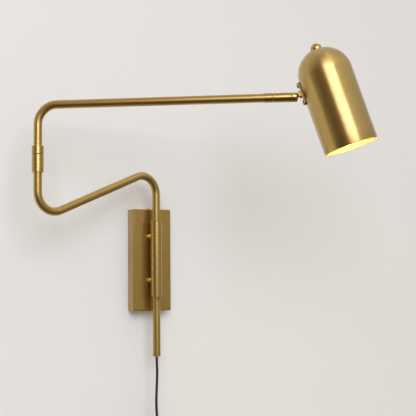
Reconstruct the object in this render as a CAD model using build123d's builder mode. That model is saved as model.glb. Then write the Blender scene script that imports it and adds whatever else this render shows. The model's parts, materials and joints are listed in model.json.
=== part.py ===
"""Swing arm wall sconce: a wall plate, two swinging arms and a domed shade on a knuckle.

Millimetres, +Z up. The origin is the centre of the wall plate's back, on the wall. The wall is the
plane Y = 0, the room is on the -Y side, and +X runs to the right along the wall.
"""

from build123d import *
import os
from math import pi, radians, sqrt, tan

os.makedirs("parts", exist_ok=True)

# ---------------------------------------------------------------- driving dimensions
# Wall plate, a box open towards the wall
PLATE_WIDTH = 65.0
PLATE_HEIGHT = 162.0
PLATE_DEPTH = 22.0
PLATE_WALL = 1.5
PLATE_EDGE_R = 1.6

# Wall bracket, a strap with an ear at each end that the plate is screwed to
STRAP_WIDTH = 30.0
STRAP_THICK = 2.0
EAR_DEPTH = 14.0
EAR_GAP = 0.3
SLOT_SPACING = 108.0
SLOT_WIDTH = 5.0
SLOT_LENGTH = 14.0
PLATE_SCREW_D = 4.0
PLATE_SCREW_HEAD_D = 7.0
PLATE_SCREW_HEAD_H = 2.2
PLATE_SCREW_OUT = 9.0

# Pivot barrel, carried on two posts
BARREL_WALL = 1.65
BARREL_LENGTH = 118.0
BARREL_MID_Z = 1.5
POST_D = 13.0
POST_LENGTH = 8.65
POST_SPACING = 70.0
POST_SCREW_D = 5.0
POST_SCREW_HEAD_D = 9.0
POST_SCREW_HEAD_H = 3.4
POST_SCREW_GRIP = 5.5

# Bushes
BUSH_WALL = 1.05
BUSH_LENGTH = 12.0
BUSH_FLANGE_H = 1.0
FLANGE_STEP = 0.65

# Arm tubes
TUBE_D = 12.0
TUBE_WALL = 1.2
BEND_R = 28.0
LOWER_REACH = 219.3
LOWER_TOP_Z = 144.8
LOWER_FOOT_Z = 57.7
TUBE_END_Z = -151.0
LOWER_HEADING = 197.1
UPPER_HEADING = -34.1
UPPER_Z = 222.5

# Collars on the lower arm
THRUST_COLLAR_H = 8.0
RETAINING_COLLAR_H = 5.0
GRUB_D = 3.0

# Elbow
ELBOW_WALL = 1.4
ELBOW_BOTTOM_Z = 126.2
ELBOW_SLEEVE_H = 25.5
ELBOW_NECK_WALL = 0.7
ELBOW_NECK_H = 1.2
ELBOW_SOCKET_H = 8.0
ELBOW_BUSH_H = 13.5
ELBOW_FLANGE_H = 0.8
ELBOW_RING_H = 11.3
CLIP_H = 1.0
CLIP_GROOVE = 0.4
CLIP_RIM = 1.3

# End of the upper arm and swivel, as distances from the elbow axis along the arm
END_RING_WALL = 0.65
END_RING_START = 322.6
END_RING_LENGTH = 11.8
END_RING_SOCKET = 8.0
SWIVEL_GAP = 0.4
HOUSING_LENGTH = 34.6
HOUSING_WALL = 1.55
HOUSING_BORE_DEPTH = 18.0
NOSE_R = 3.3
NOSE_WIRE_BORE = 4.4
PIVOT_FROM_NOSE = 6.9
STUD_D = 6.0
STUD_BORE = 3.8
STUD_FLANGE_D = 9.2
STUD_FLANGE_H = 2.0
SWIVEL_BUSHING_LENGTH = 8.0
WASHER_H = 0.5

# Knuckle: an eye between two cheeks, and a hollow neck
EYE_R = 5.0
EYE_WIDTH = 6.0
CHEEK_GAP = 0.15
NECK_D = 5.6
NECK_BORE = 3.0
PIVOT_SCREW_D = 3.0
PIVOT_SCREW_TIP = 1.75
PIVOT_HEAD_D = 4.8
PIVOT_HEAD_H = 1.2
LOCK_NUT_AF = 8.8
LOCK_NUT_H = 3.8
INNER_NUT_AF = 9.0
INNER_NUT_H = 2.5

# Head
TILT = 18.5
NECK_DROP = 14.2
SHADE_D = 75.0
SHADE_WALL = 1.2
SHADE_SKIRT = 106.0
SHADE_STANDOFF = 14.2
BRACKET_LENGTH = 32.0
BRACKET_WIDTH = 12.0
BRACKET_THICK = 2.0
BRACKET_CORNER_R = 3.0
BRACKET_SCREW_SPACING = 25.0
BRACKET_SCREW_D = 4.0
BRACKET_HEAD_D = 7.5
BRACKET_HEAD_H = 2.8
BRACKET_NUT_AF = 7.0
BRACKET_NUT_H = 3.0
CAP_NUT_D = 16.0
CAP_NUT_THREAD = 5.0
STEM_D = 10.0
STEM_BORE = 7.0
STEM_NUT_AF = 14.0
STEM_NUT_H = 3.0

# Lampholder and bulb
HOLDER_D = 38.0
HOLDER_WALL = 3.5
HOLDER_CLEAR = 4.0
HOLDER_LENGTH = 46.0
HOLDER_FLOOR = 6.0
SHELL_D = 28.4
SHELL_WALL = 0.6
SHELL_LENGTH = 24.0
SHELL_DROP = 16.0
CORE_THICK = 3.0
BULB_BASE_D = 26.4
BULB_BASE_LENGTH = 24.0
BULB_D = 46.0
BULB_LENGTH = 62.0
GLASS_WALL = 1.0
GLASS_STEP = 0.5
CONTACT_D = 8.0
CONTACT_H = 1.2

# Leads and cord
CORD_D = 4.0
HEAD_LEAD_D = 2.6
GRIP_LENGTH = 11.0
LEAD_BEND_R = 4.0

# In-line switch
SWITCH_LENGTH = 60.0
SWITCH_WIDTH = 22.0
SWITCH_DEPTH = 15.0
SWITCH_WALL = 1.8
SWITCH_CORNER_R = 8.0
SWITCH_EDGE_R = 2.0
ROCKER_WIDTH = 8.4
ROCKER_R = 7.6
ROCKER_GAP = 0.35
ROCKER_THROW = 8.0
ROCKER_PIVOT_OUT = 4.5
ROCKER_CREST = 8.6
ROCKER_FLOOR = 3.2
TRUNNION_D = 2.0
LUG_THICK = 1.6
SWITCH_SCREW_D = 2.5
SWITCH_BOSS_D = 5.2
SWITCH_SCREW_ACROSS = 6.4
SWITCH_SCREW_ALONG = 21.0
SWITCH_HEAD_D = 4.8
SWITCH_HEAD_H = 1.2
LUG_WIDTH = 6.0
TERMINAL_WIDTH = 3.6
TERMINAL_LENGTH = 7.0
TERMINAL_DEPTH = 4.0
TERMINAL_ALONG = 14.7

# Cord coil, as it is put away, and its tie
COIL_PITCH = 4.1
COIL_INNER_R = 18.0
COIL_LAYERS = 3
COIL_ROWS = 4
TIE_WIDTH = 6.0
TIE_THICK = 1.0
TIE_SLACK = 0.4

# Plug
PLUG_NECK_LENGTH = 20.0
PLUG_NECK_D = 8.0
PLUG_NECK_WALL = 0.8
PLUG_BODY_LENGTH = 24.0
PLUG_BODY_WIDTH = 25.0
PLUG_BODY_DEPTH = 14.0
PLUG_CORNER_R = 4.0
PLUG_EDGE_R = 1.5
PIN_SPACING = 12.7
PIN_WIDTH = 6.3
PIN_THICK = 1.5
PIN_LENGTH = 17.0
PIN_ROOT = 6.0

# Clearances
PRESSED = 0.01  # radial, between pieces fixed to each other
RUNNING = 0.05  # radial, where one piece turns in another
FACE_GAP = 0.1  # between flat faces that slide on each other
SCREW_CLEAR = 0.15  # radial, round a screw's shank
COLLAR_GAP = 0.3
NUT_SEAT = 0.05  # under a flat nut on a curved wall
LEAD_GAP = 1.0  # between leads that turn against each other

# Small details shared by several pieces
EDGE_BREAK = 0.4
HEAD_ROUNDING = 0.45
HEAD_SINK = 0.3
SCREW_END = 0.8
OVERCUT = 1.0

# ---------------------------------------------------------------- places worked out from them
UP = Vector(0, 0, 1)
TUBE_BORE = TUBE_D - 2 * TUBE_WALL
BARREL_BORE = TUBE_D + 2 * (RUNNING + BUSH_WALL)
BARREL_D = BARREL_BORE + 2 * BARREL_WALL
ELBOW_D = BARREL_BORE + 2 * ELBOW_WALL
COLLAR_D = BARREL_BORE - 2 * COLLAR_GAP
SWIVEL_D = TUBE_D + 2 * END_RING_WALL
HOUSING_BORE = SWIVEL_D - 2 * HOUSING_WALL
AXIS_OUT = PLATE_DEPTH + POST_LENGTH + BARREL_D / 2
SHOULDER = Vector(0, -AXIS_OUT, 0)
LOWER_DIR = Vector(1, 0, 0).rotate(Axis.Z, LOWER_HEADING)
UPPER_DIR = Vector(1, 0, 0).rotate(Axis.Z, UPPER_HEADING)
ELBOW = SHOULDER + LOWER_DIR * LOWER_REACH
BARREL_BOTTOM_Z = BARREL_MID_Z - BARREL_LENGTH / 2
BARREL_TOP_Z = BARREL_MID_Z + BARREL_LENGTH / 2
SLEEVE_TOP_Z = ELBOW_BOTTOM_Z + ELBOW_SLEEVE_H
SOCKET_TOP_Z = ELBOW_BOTTOM_Z + ELBOW_SOCKET_H
ELBOW_BUSH_BOTTOM_Z = SLEEVE_TOP_Z - ELBOW_BUSH_H
RING_BOTTOM_Z = SLEEVE_TOP_Z + ELBOW_FLANGE_H + FACE_GAP
CLIP_Z = ELBOW_BUSH_BOTTOM_Z - COLLAR_GAP - CLIP_H
UPPER_TUBE_FOOT_Z = CLIP_Z - CLIP_RIM
END_RING_END = END_RING_START + END_RING_LENGTH
HOUSING_START = END_RING_END + SWIVEL_GAP
HOUSING_END = HOUSING_START + HOUSING_LENGTH
PIVOT_REACH = HOUSING_END - PIVOT_FROM_NOSE
PIVOT = ELBOW + UPPER_DIR * PIVOT_REACH + UP * UPPER_Z
TILT_AXIS = UPPER_DIR.cross(UP)
NECK_DIR = UPPER_DIR.rotate(Axis((0, 0, 0), TILT_AXIS), TILT)
SHADE_DIR = UP.rotate(Axis((0, 0, 0), TILT_AXIS), TILT)
SHADE_R = SHADE_D / 2
SHADE_INNER_R = SHADE_R - SHADE_WALL
DOME_CENTRE = PIVOT + NECK_DIR * (SHADE_STANDOFF + SHADE_R) + SHADE_DIR * NECK_DROP
BRACKET_FACE = SHADE_STANDOFF - BRACKET_THICK
LOW = (Align.CENTER, Align.CENTER, Align.MIN)
HIGH = (Align.CENTER, Align.CENTER, Align.MAX)


def at_shoulder(z):
    """The level plane at height z, centred on the barrel's axis."""
    return Plane(origin=SHOULDER + UP * z, z_dir=UP)


def at_elbow(z):
    """The level plane at height z, centred on the elbow's axis."""
    return Plane(origin=ELBOW + UP * z, z_dir=UP)


def on_arm(reach):
    """The plane across the upper arm at a distance from the elbow; its X is up."""
    return Plane(origin=ELBOW + UPPER_DIR * reach + UP * UPPER_Z, x_dir=UP, z_dir=UPPER_DIR)


def on_neck(out, along=0.0):
    """The plane across the neck at a distance from the tilt axis; its X runs up the shade."""
    return Plane(origin=PIVOT + NECK_DIR * out + SHADE_DIR * along, x_dir=SHADE_DIR, z_dir=NECK_DIR)


def in_shade(drop):
    """The plane across the shade at a distance below the dome's centre; its Z is up the shade."""
    return Plane(origin=DOME_CENTRE - SHADE_DIR * drop, x_dir=NECK_DIR, z_dir=SHADE_DIR)


def save(block, node):
    """Label a finished piece and write its file."""
    block.part.label = node
    export_step(block.part, f"parts/{node}.step")


def ring(plane, outer_d, bore_d, length):
    """A plain ring that stands on a plane."""
    with BuildPart(plane) as made:
        Cylinder(outer_d / 2, length, align=LOW)
        Cylinder(bore_d / 2, length, align=LOW, mode=Mode.SUBTRACT)
    return made.part


def hex_nut(plane, across_flats, bore_d, height):
    """A hexagon nut that stands on a plane."""
    with BuildPart() as made:
        with BuildSketch(plane):
            RegularPolygon(across_flats / 2, 6, major_radius=False)
            Circle(bore_d / 2, mode=Mode.SUBTRACT)
        extrude(amount=height)
    return made.part


def headed_screw(plane, shank_d, shank_length, head_d, head_h):
    """A round-headed screw: the shank runs along the plane's normal, the domed head stands behind."""
    with BuildPart(plane) as made:
        Cylinder(shank_d / 2, shank_length, align=LOW)
        Cylinder(head_d / 2, head_h, align=HIGH)
        crown = made.edges().filter_by(GeomType.CIRCLE).sort_by(Axis(plane.origin, plane.z_dir))[0]
        fillet(crown, HEAD_ROUNDING * head_h)
    return made.part


def tube_along(points, bend_r, outer_d, bore_d=0.0):
    """A round tube or rod along straight runs joined by bends."""
    with BuildPart() as made:
        with BuildLine():
            route = FilletPolyline(*points, radius=bend_r)
        with BuildSketch(Plane(origin=route @ 0, z_dir=route % 0)):
            Circle(outer_d / 2)
            if bore_d:
                Circle(bore_d / 2, mode=Mode.SUBTRACT)
        sweep(path=route)
    return made.part


# ---------------------------------------------------------------- wall plate and bracket
post_heights = [BARREL_MID_Z - POST_SPACING / 2, BARREL_MID_Z + POST_SPACING / 2]
plate_screw_sides = [1, -1]

with BuildPart() as wall_plate:
    with BuildSketch(Plane.XZ):
        Rectangle(PLATE_WIDTH, PLATE_HEIGHT)
    extrude(amount=PLATE_DEPTH)
    back_rim = wall_plate.faces().sort_by(Axis.Y)[-1].edges()
    fillet(wall_plate.edges() - back_rim, PLATE_EDGE_R)
    with BuildSketch(Plane.XZ):
        Rectangle(PLATE_WIDTH - 2 * PLATE_WALL, PLATE_HEIGHT - 2 * PLATE_WALL)
    extrude(amount=PLATE_DEPTH - PLATE_WALL, mode=Mode.SUBTRACT)
    with BuildSketch(Plane.XZ.offset(PLATE_DEPTH)):
        with Locations(*[(0, z) for z in post_heights]):
            Circle(POST_SCREW_D / 2 + SCREW_CLEAR)
    extrude(amount=-2 * PLATE_WALL, mode=Mode.SUBTRACT)
    for side in plate_screw_sides:
        with BuildSketch(Plane.XY.offset(side * PLATE_HEIGHT / 2)):
            with Locations((0, -PLATE_SCREW_OUT)):
                Circle(PLATE_SCREW_D / 2 + SCREW_CLEAR)
        extrude(amount=-side * 2 * PLATE_WALL, mode=Mode.SUBTRACT)
save(wall_plate, "wall_plate")

ear_face = PLATE_HEIGHT / 2 - PLATE_WALL - EAR_GAP
with BuildPart() as wall_bracket:
    with BuildSketch(Plane.YZ):
        with BuildLine():
            Polyline(
                (-EAR_DEPTH, ear_face), (0, ear_face), (0, -ear_face), (-EAR_DEPTH, -ear_face),
                (-EAR_DEPTH, STRAP_THICK - ear_face), (-STRAP_THICK, STRAP_THICK - ear_face),
                (-STRAP_THICK, ear_face - STRAP_THICK), (-EAR_DEPTH, ear_face - STRAP_THICK), close=True,
            )
        make_face()
    extrude(amount=STRAP_WIDTH / 2, both=True)
    with BuildSketch(Plane.XZ):
        with Locations((0, SLOT_SPACING / 2), (0, -SLOT_SPACING / 2)):
            SlotOverall(SLOT_LENGTH, SLOT_WIDTH, rotation=90)
    extrude(amount=STRAP_THICK, mode=Mode.SUBTRACT)
    with BuildSketch(Plane.XY):
        with Locations((0, -PLATE_SCREW_OUT)):
            Circle(PLATE_SCREW_D / 2 + PRESSED)
    extrude(amount=PLATE_HEIGHT, both=True, mode=Mode.SUBTRACT)
save(wall_bracket, "wall_bracket")

with BuildPart() as plate_screws:
    for side in plate_screw_sides:
        head_seat = Plane(origin=(0, -PLATE_SCREW_OUT, side * PLATE_HEIGHT / 2), z_dir=(0, 0, -side))
        add(headed_screw(head_seat, PLATE_SCREW_D, PLATE_WALL + EAR_GAP + STRAP_THICK + SCREW_END,
                         PLATE_SCREW_HEAD_D, PLATE_SCREW_HEAD_H))
save(plate_screws, "plate_screws")

# ---------------------------------------------------------------- pivot barrel on its posts
with BuildPart() as standoff_posts:
    for z in post_heights:
        with BuildSketch(Plane.XZ.offset(PLATE_DEPTH)):
            with Locations((0, z)):
                Circle(POST_D / 2)
        extrude(amount=AXIS_OUT - PLATE_DEPTH)
        with BuildSketch(Plane.XZ.offset(PLATE_DEPTH)):
            with Locations((0, z)):
                Circle(POST_SCREW_D / 2 + PRESSED)
        extrude(amount=POST_SCREW_GRIP + SCREW_END, mode=Mode.SUBTRACT)
    with BuildSketch(at_shoulder(BARREL_BOTTOM_Z)):
        Circle(BARREL_D / 2 + PRESSED)
    extrude(amount=BARREL_LENGTH, mode=Mode.SUBTRACT)
save(standoff_posts, "standoff_posts")

with BuildPart() as post_screws:
    for z in post_heights:
        inner_face = Plane(origin=(0, PLATE_WALL - PLATE_DEPTH, z), z_dir=(0, -1, 0))
        add(headed_screw(inner_face, POST_SCREW_D, PLATE_WALL + POST_SCREW_GRIP,
                         POST_SCREW_HEAD_D, POST_SCREW_HEAD_H))
save(post_screws, "post_screws")

with BuildPart() as pivot_barrel:
    add(ring(at_shoulder(BARREL_BOTTOM_Z), BARREL_D, BARREL_BORE, BARREL_LENGTH))
    chamfer(pivot_barrel.edges().filter_by(GeomType.CIRCLE).group_by(SortBy.RADIUS)[-1], EDGE_BREAK)
save(pivot_barrel, "pivot_barrel")

with BuildPart() as barrel_bush_bottom:
    add(ring(at_shoulder(BARREL_BOTTOM_Z), BARREL_BORE - 2 * PRESSED, TUBE_D + 2 * RUNNING, BUSH_LENGTH))
    add(ring(at_shoulder(BARREL_BOTTOM_Z - BUSH_FLANGE_H), BARREL_D - 2 * FLANGE_STEP, TUBE_D + 2 * RUNNING,
             BUSH_FLANGE_H))
save(barrel_bush_bottom, "barrel_bush_bottom")

with BuildPart() as barrel_bush_top:
    add(ring(at_shoulder(BARREL_TOP_Z - BUSH_LENGTH), BARREL_BORE - 2 * PRESSED, TUBE_D + 2 * RUNNING,
             BUSH_LENGTH))
    add(ring(at_shoulder(BARREL_TOP_Z), BARREL_D - 2 * FLANGE_STEP, TUBE_D + 2 * RUNNING, BUSH_FLANGE_H))
save(barrel_bush_top, "barrel_bush_top")

# ---------------------------------------------------------------- lower arm
lower_route = [SHOULDER + UP * TUBE_END_Z, SHOULDER + UP * LOWER_TOP_Z,
               ELBOW + UP * LOWER_FOOT_Z, ELBOW + UP * SOCKET_TOP_Z]
with BuildPart() as lower_arm_tube:
    add(tube_along(lower_route, BEND_R, TUBE_D, TUBE_BORE))
save(lower_arm_tube, "lower_arm_tube")

thrust_collar_z = BARREL_BOTTOM_Z + BUSH_LENGTH + FACE_GAP
retaining_collar_z = BARREL_BOTTOM_Z - BUSH_FLANGE_H - COLLAR_GAP - RETAINING_COLLAR_H
collar_bore = TUBE_D + 2 * PRESSED


def set_collar(z, height):
    """A collar on the lower arm's tube, with a cross hole for its grub screw on the room side."""
    with BuildPart() as made:
        add(ring(at_shoulder(z), COLLAR_D, collar_bore, height))
        chamfer(made.edges().filter_by(GeomType.CIRCLE).group_by(SortBy.RADIUS)[-1], EDGE_BREAK)
        with BuildSketch(Plane.XZ.offset(AXIS_OUT)):
            with Locations((0, z + height / 2)):
                Circle(GRUB_D / 2 + PRESSED)
        extrude(amount=COLLAR_D, mode=Mode.SUBTRACT)
    return made.part


with BuildPart() as thrust_collar:
    add(set_collar(thrust_collar_z, THRUST_COLLAR_H))
save(thrust_collar, "thrust_collar")

with BuildPart() as retaining_collar:
    add(set_collar(retaining_collar_z, RETAINING_COLLAR_H))
save(retaining_collar, "retaining_collar")

with BuildPart() as collar_grub_screws:
    for z in (thrust_collar_z + THRUST_COLLAR_H / 2, retaining_collar_z + RETAINING_COLLAR_H / 2):
        with BuildSketch(Plane.XZ.offset(AXIS_OUT + collar_bore / 2 + RUNNING)):
            with Locations((0, z)):
                Circle(GRUB_D / 2)
        extrude(amount=(COLLAR_D - collar_bore) / 2 - 2 * RUNNING)
save(collar_grub_screws, "collar_grub_screws")

with BuildPart() as elbow_sleeve:
    add(ring(at_elbow(ELBOW_BOTTOM_Z), ELBOW_D, collar_bore, ELBOW_SOCKET_H))
    add(ring(at_elbow(SOCKET_TOP_Z), ELBOW_D, BARREL_BORE, ELBOW_SLEEVE_H - ELBOW_SOCKET_H))
    chamfer(elbow_sleeve.edges().filter_by(GeomType.CIRCLE).group_by(SortBy.RADIUS)[-1], EDGE_BREAK)
    add(ring(at_elbow(ELBOW_BOTTOM_Z - ELBOW_NECK_H), TUBE_D + 2 * ELBOW_NECK_WALL, collar_bore,
             ELBOW_NECK_H))
save(elbow_sleeve, "elbow_sleeve")

with BuildPart() as elbow_bush:
    add(ring(at_elbow(ELBOW_BUSH_BOTTOM_Z), BARREL_BORE - 2 * PRESSED, TUBE_D + 2 * RUNNING,
             ELBOW_BUSH_H))
    add(ring(at_elbow(SLEEVE_TOP_Z), ELBOW_D - 2 * FLANGE_STEP, TUBE_D + 2 * RUNNING, ELBOW_FLANGE_H))
save(elbow_bush, "elbow_bush")

with BuildPart() as cord_grip:
    add(ring(at_shoulder(TUBE_END_Z), TUBE_BORE - 2 * PRESSED, CORD_D + 2 * PRESSED, GRIP_LENGTH))
save(cord_grip, "cord_grip")

with BuildPart() as lower_arm_lead:
    add(tube_along(lower_route, BEND_R, CORD_D))
save(lower_arm_lead, "lower_arm_lead")

# ---------------------------------------------------------------- upper arm
upper_route = [ELBOW + UP * UPPER_TUBE_FOOT_Z, ELBOW + UP * UPPER_Z,
               ELBOW + UP * UPPER_Z + UPPER_DIR * (END_RING_START + END_RING_SOCKET)]
with BuildPart() as upper_arm_tube:
    add(tube_along(upper_route, BEND_R, TUBE_D, TUBE_BORE))
    add(ring(at_elbow(CLIP_Z - PRESSED), COLLAR_D, TUBE_D - 2 * CLIP_GROOVE, CLIP_H + 2 * PRESSED),
        mode=Mode.SUBTRACT)
save(upper_arm_tube, "upper_arm_tube")

with BuildPart() as elbow_clip:
    add(ring(at_elbow(CLIP_Z), COLLAR_D, TUBE_D - 2 * CLIP_GROOVE + 2 * PRESSED, CLIP_H))
    with BuildSketch(at_elbow(CLIP_Z)):
        with Locations((COLLAR_D / 2, 0)):
            Rectangle(COLLAR_D / 2, TUBE_D / 3)
    extrude(amount=CLIP_H, mode=Mode.SUBTRACT)
save(elbow_clip, "elbow_clip")

with BuildPart() as elbow_ring:
    add(ring(at_elbow(RING_BOTTOM_Z), ELBOW_D, collar_bore, ELBOW_RING_H))
    chamfer(elbow_ring.edges().filter_by(GeomType.CIRCLE).group_by(SortBy.RADIUS)[-1], EDGE_BREAK)
save(elbow_ring, "elbow_ring")

ring_wall_start = END_RING_START + END_RING_SOCKET
with BuildPart() as arm_end_ring:
    add(ring(on_arm(END_RING_START), SWIVEL_D, collar_bore, END_RING_SOCKET))
    add(ring(on_arm(ring_wall_start), SWIVEL_D, STUD_D + 2 * PRESSED, END_RING_LENGTH - END_RING_SOCKET))
    chamfer(arm_end_ring.edges().filter_by(GeomType.CIRCLE).group_by(SortBy.RADIUS)[-1], EDGE_BREAK)
save(arm_end_ring, "arm_end_ring")

stud_flange_start = HOUSING_START + SWIVEL_BUSHING_LENGTH + WASHER_H + FACE_GAP
with BuildPart() as swivel_stud:
    add(ring(on_arm(ring_wall_start), STUD_D, STUD_BORE, stud_flange_start - ring_wall_start))
    add(ring(on_arm(stud_flange_start), STUD_FLANGE_D, STUD_BORE, STUD_FLANGE_H))
save(swivel_stud, "swivel_stud")

lead_route = [ELBOW + UP * (SOCKET_TOP_Z + LEAD_GAP), ELBOW + UP * UPPER_Z,
              ELBOW + UP * UPPER_Z + UPPER_DIR * (ring_wall_start - LEAD_GAP)]
with BuildPart() as upper_arm_lead:
    add(tube_along(lead_route, BEND_R, CORD_D))
save(upper_arm_lead, "upper_arm_lead")

# ---------------------------------------------------------------- swivel
slot_width = EYE_WIDTH + 2 * CHEEK_GAP
slot_floor = PIVOT_REACH - EYE_R - COLLAR_GAP
with BuildPart(on_arm(HOUSING_START)) as swivel_housing:
    Cylinder(SWIVEL_D / 2, HOUSING_LENGTH, align=LOW)
    arm_axis = Axis(on_arm(HOUSING_START).origin, UPPER_DIR)
    rims = swivel_housing.edges().filter_by(GeomType.CIRCLE).sort_by(arm_axis)
    fillet(rims[-1], NOSE_R)
    chamfer(rims[0], EDGE_BREAK)
    Cylinder(HOUSING_BORE / 2, HOUSING_BORE_DEPTH, align=LOW, mode=Mode.SUBTRACT)
    Cylinder(NOSE_WIRE_BORE / 2, slot_floor - HOUSING_START + OVERCUT, align=LOW, mode=Mode.SUBTRACT)
    with BuildSketch(on_arm(slot_floor)):
        Rectangle(2 * SWIVEL_D, slot_width)
    extrude(amount=HOUSING_LENGTH, mode=Mode.SUBTRACT)
    across = Plane(origin=PIVOT, x_dir=UP, z_dir=TILT_AXIS)
    with BuildSketch(across):
        Circle(PIVOT_SCREW_D / 2 + PRESSED)
    extrude(amount=SWIVEL_D, both=True, mode=Mode.SUBTRACT)
    for side in (1, -1):
        with BuildSketch(across.offset(side * SWIVEL_D / 2)):
            Circle(PIVOT_HEAD_D / 2 + PRESSED)
        extrude(amount=-side * (PIVOT_HEAD_H + HEAD_SINK), mode=Mode.SUBTRACT)
save(swivel_housing, "swivel_housing")

with BuildPart() as swivel_bushing:
    add(ring(on_arm(HOUSING_START), HOUSING_BORE - 2 * PRESSED, STUD_D + 2 * RUNNING,
             SWIVEL_BUSHING_LENGTH))
save(swivel_bushing, "swivel_bushing")

with BuildPart() as friction_washer:
    add(ring(on_arm(HOUSING_START + SWIVEL_BUSHING_LENGTH), STUD_FLANGE_D, STUD_D + 2 * RUNNING, WASHER_H))
save(friction_washer, "friction_washer")

head_seat_out = SWIVEL_D / 2 - HEAD_SINK - PIVOT_HEAD_H


def shoulder_screw(plane):
    """A flat-headed screw whose shank is a pivot: it runs along the plane's normal."""
    with BuildPart(plane) as made:
        Cylinder(PIVOT_SCREW_D / 2, head_seat_out - PIVOT_SCREW_TIP, align=LOW)
        Cylinder(PIVOT_HEAD_D / 2, PIVOT_HEAD_H, align=HIGH)
    return made.part


with BuildPart() as pivot_screws:
    for side in (1, -1):
        add(shoulder_screw(Plane(origin=PIVOT + TILT_AXIS * side * head_seat_out,
                                 z_dir=TILT_AXIS * -side)))
save(pivot_screws, "pivot_screws")

with BuildPart() as swivel_lead:
    with BuildSketch(on_arm(ring_wall_start)):
        Circle(HEAD_LEAD_D / 2)
    extrude(amount=slot_floor - ring_wall_start)
save(swivel_lead, "swivel_lead")

# ---------------------------------------------------------------- knuckle and shade bracket


def wall_bulge(across_corners):
    """How far the skirt's inner wall stands in at the corners of a flat nut."""
    return SHADE_INNER_R - sqrt(SHADE_INNER_R**2 - (across_corners / 2) ** 2)


nut_corner = 2 / sqrt(3)
inner_nut_seat = SHADE_STANDOFF + SHADE_WALL + wall_bulge(INNER_NUT_AF * nut_corner) + NUT_SEAT
bracket_nut_seat = SHADE_STANDOFF + SHADE_WALL + wall_bulge(BRACKET_NUT_AF * nut_corner) + NUT_SEAT
screw_offsets = [-BRACKET_SCREW_SPACING / 2, BRACKET_SCREW_SPACING / 2]
neck_end = inner_nut_seat + INNER_NUT_H + SCREW_END

with BuildPart() as knuckle:
    with BuildSketch(Plane(origin=PIVOT, x_dir=NECK_DIR, z_dir=TILT_AXIS)):
        Circle(EYE_R)
    extrude(amount=EYE_WIDTH / 2, both=True)
    with BuildSketch(on_neck(0)):
        Circle(NECK_D / 2)
    extrude(amount=neck_end)
    with BuildSketch(on_neck(-EYE_R)):
        Circle(NECK_BORE / 2)
    extrude(amount=EYE_R + neck_end, mode=Mode.SUBTRACT)
    for side in (1, -1):
        with BuildSketch(Plane(origin=PIVOT + TILT_AXIS * side * EYE_WIDTH / 2, z_dir=TILT_AXIS * -side)):
            Circle(PIVOT_SCREW_D / 2 + RUNNING)
        extrude(amount=EYE_WIDTH / 2 - PIVOT_SCREW_TIP + FACE_GAP, mode=Mode.SUBTRACT)
save(knuckle, "knuckle")

with BuildPart() as neck_lock_nut:
    add(hex_nut(on_neck(BRACKET_FACE - LOCK_NUT_H), LOCK_NUT_AF, NECK_D + 2 * PRESSED, LOCK_NUT_H))
save(neck_lock_nut, "neck_lock_nut")

with BuildPart() as neck_inner_nut:
    add(hex_nut(on_neck(inner_nut_seat), INNER_NUT_AF, NECK_D + 2 * PRESSED, INNER_NUT_H))
save(neck_inner_nut, "neck_inner_nut")

with BuildPart() as shade_bracket:
    with BuildSketch(on_neck(BRACKET_FACE)):
        RectangleRounded(BRACKET_LENGTH, BRACKET_WIDTH, BRACKET_CORNER_R)
        Circle(NECK_D / 2 + SCREW_CLEAR, mode=Mode.SUBTRACT)
        with Locations(*[(along, 0) for along in screw_offsets]):
            Circle(BRACKET_SCREW_D / 2 + SCREW_CLEAR, mode=Mode.SUBTRACT)
    extrude(amount=2 * BRACKET_THICK)
    with BuildSketch(in_shade(SHADE_SKIRT)):
        Circle(SHADE_R + PRESSED)
    extrude(amount=2 * SHADE_SKIRT, mode=Mode.SUBTRACT)
save(shade_bracket, "shade_bracket")

screw_shank = bracket_nut_seat + BRACKET_NUT_H + SCREW_END - BRACKET_FACE
with BuildPart() as bracket_screws:
    for along in screw_offsets:
        add(headed_screw(on_neck(BRACKET_FACE, along), BRACKET_SCREW_D, screw_shank,
                         BRACKET_HEAD_D, BRACKET_HEAD_H))
save(bracket_screws, "bracket_screws")

with BuildPart() as bracket_nuts:
    for along in screw_offsets:
        add(hex_nut(on_neck(bracket_nut_seat, along), BRACKET_NUT_AF, BRACKET_SCREW_D + 2 * PRESSED,
                    BRACKET_NUT_H))
save(bracket_nuts, "bracket_nuts")

# ---------------------------------------------------------------- shade
across_shade = Plane(origin=DOME_CENTRE, x_dir=NECK_DIR, z_dir=NECK_DIR.cross(SHADE_DIR))
shade_axis = Axis(DOME_CENTRE, SHADE_DIR)
with BuildPart() as shade:
    with BuildSketch(across_shade):
        with BuildLine():
            Line((SHADE_INNER_R, -SHADE_SKIRT), (SHADE_R, -SHADE_SKIRT))
            Line((SHADE_R, -SHADE_SKIRT), (SHADE_R, 0))
            CenterArc((0, 0), SHADE_R, 0, 90)
            Line((0, SHADE_R), (0, SHADE_INNER_R))
            CenterArc((0, 0), SHADE_INNER_R, 0, 90)
            Line((SHADE_INNER_R, 0), (SHADE_INNER_R, -SHADE_SKIRT))
        make_face()
    revolve(axis=shade_axis)
    with BuildSketch(in_shade(0)):
        Circle(STEM_D / 2 + SCREW_CLEAR)
    extrude(amount=2 * SHADE_R, mode=Mode.SUBTRACT)
    with BuildSketch(on_neck(0)):
        Circle(NECK_D / 2 + SCREW_CLEAR)
        with Locations(*[(along, 0) for along in screw_offsets]):
            Circle(BRACKET_SCREW_D / 2 + SCREW_CLEAR)
    extrude(amount=SHADE_STANDOFF + SHADE_R / 2, mode=Mode.SUBTRACT)
save(shade, "shade")

# ---------------------------------------------------------------- lampholder, stem and cap nut
stem_nut_top = sqrt(SHADE_INNER_R**2 - (STEM_NUT_AF * nut_corner / 2) ** 2) - NUT_SEAT
stem_top = SHADE_R + CAP_NUT_THREAD
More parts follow.
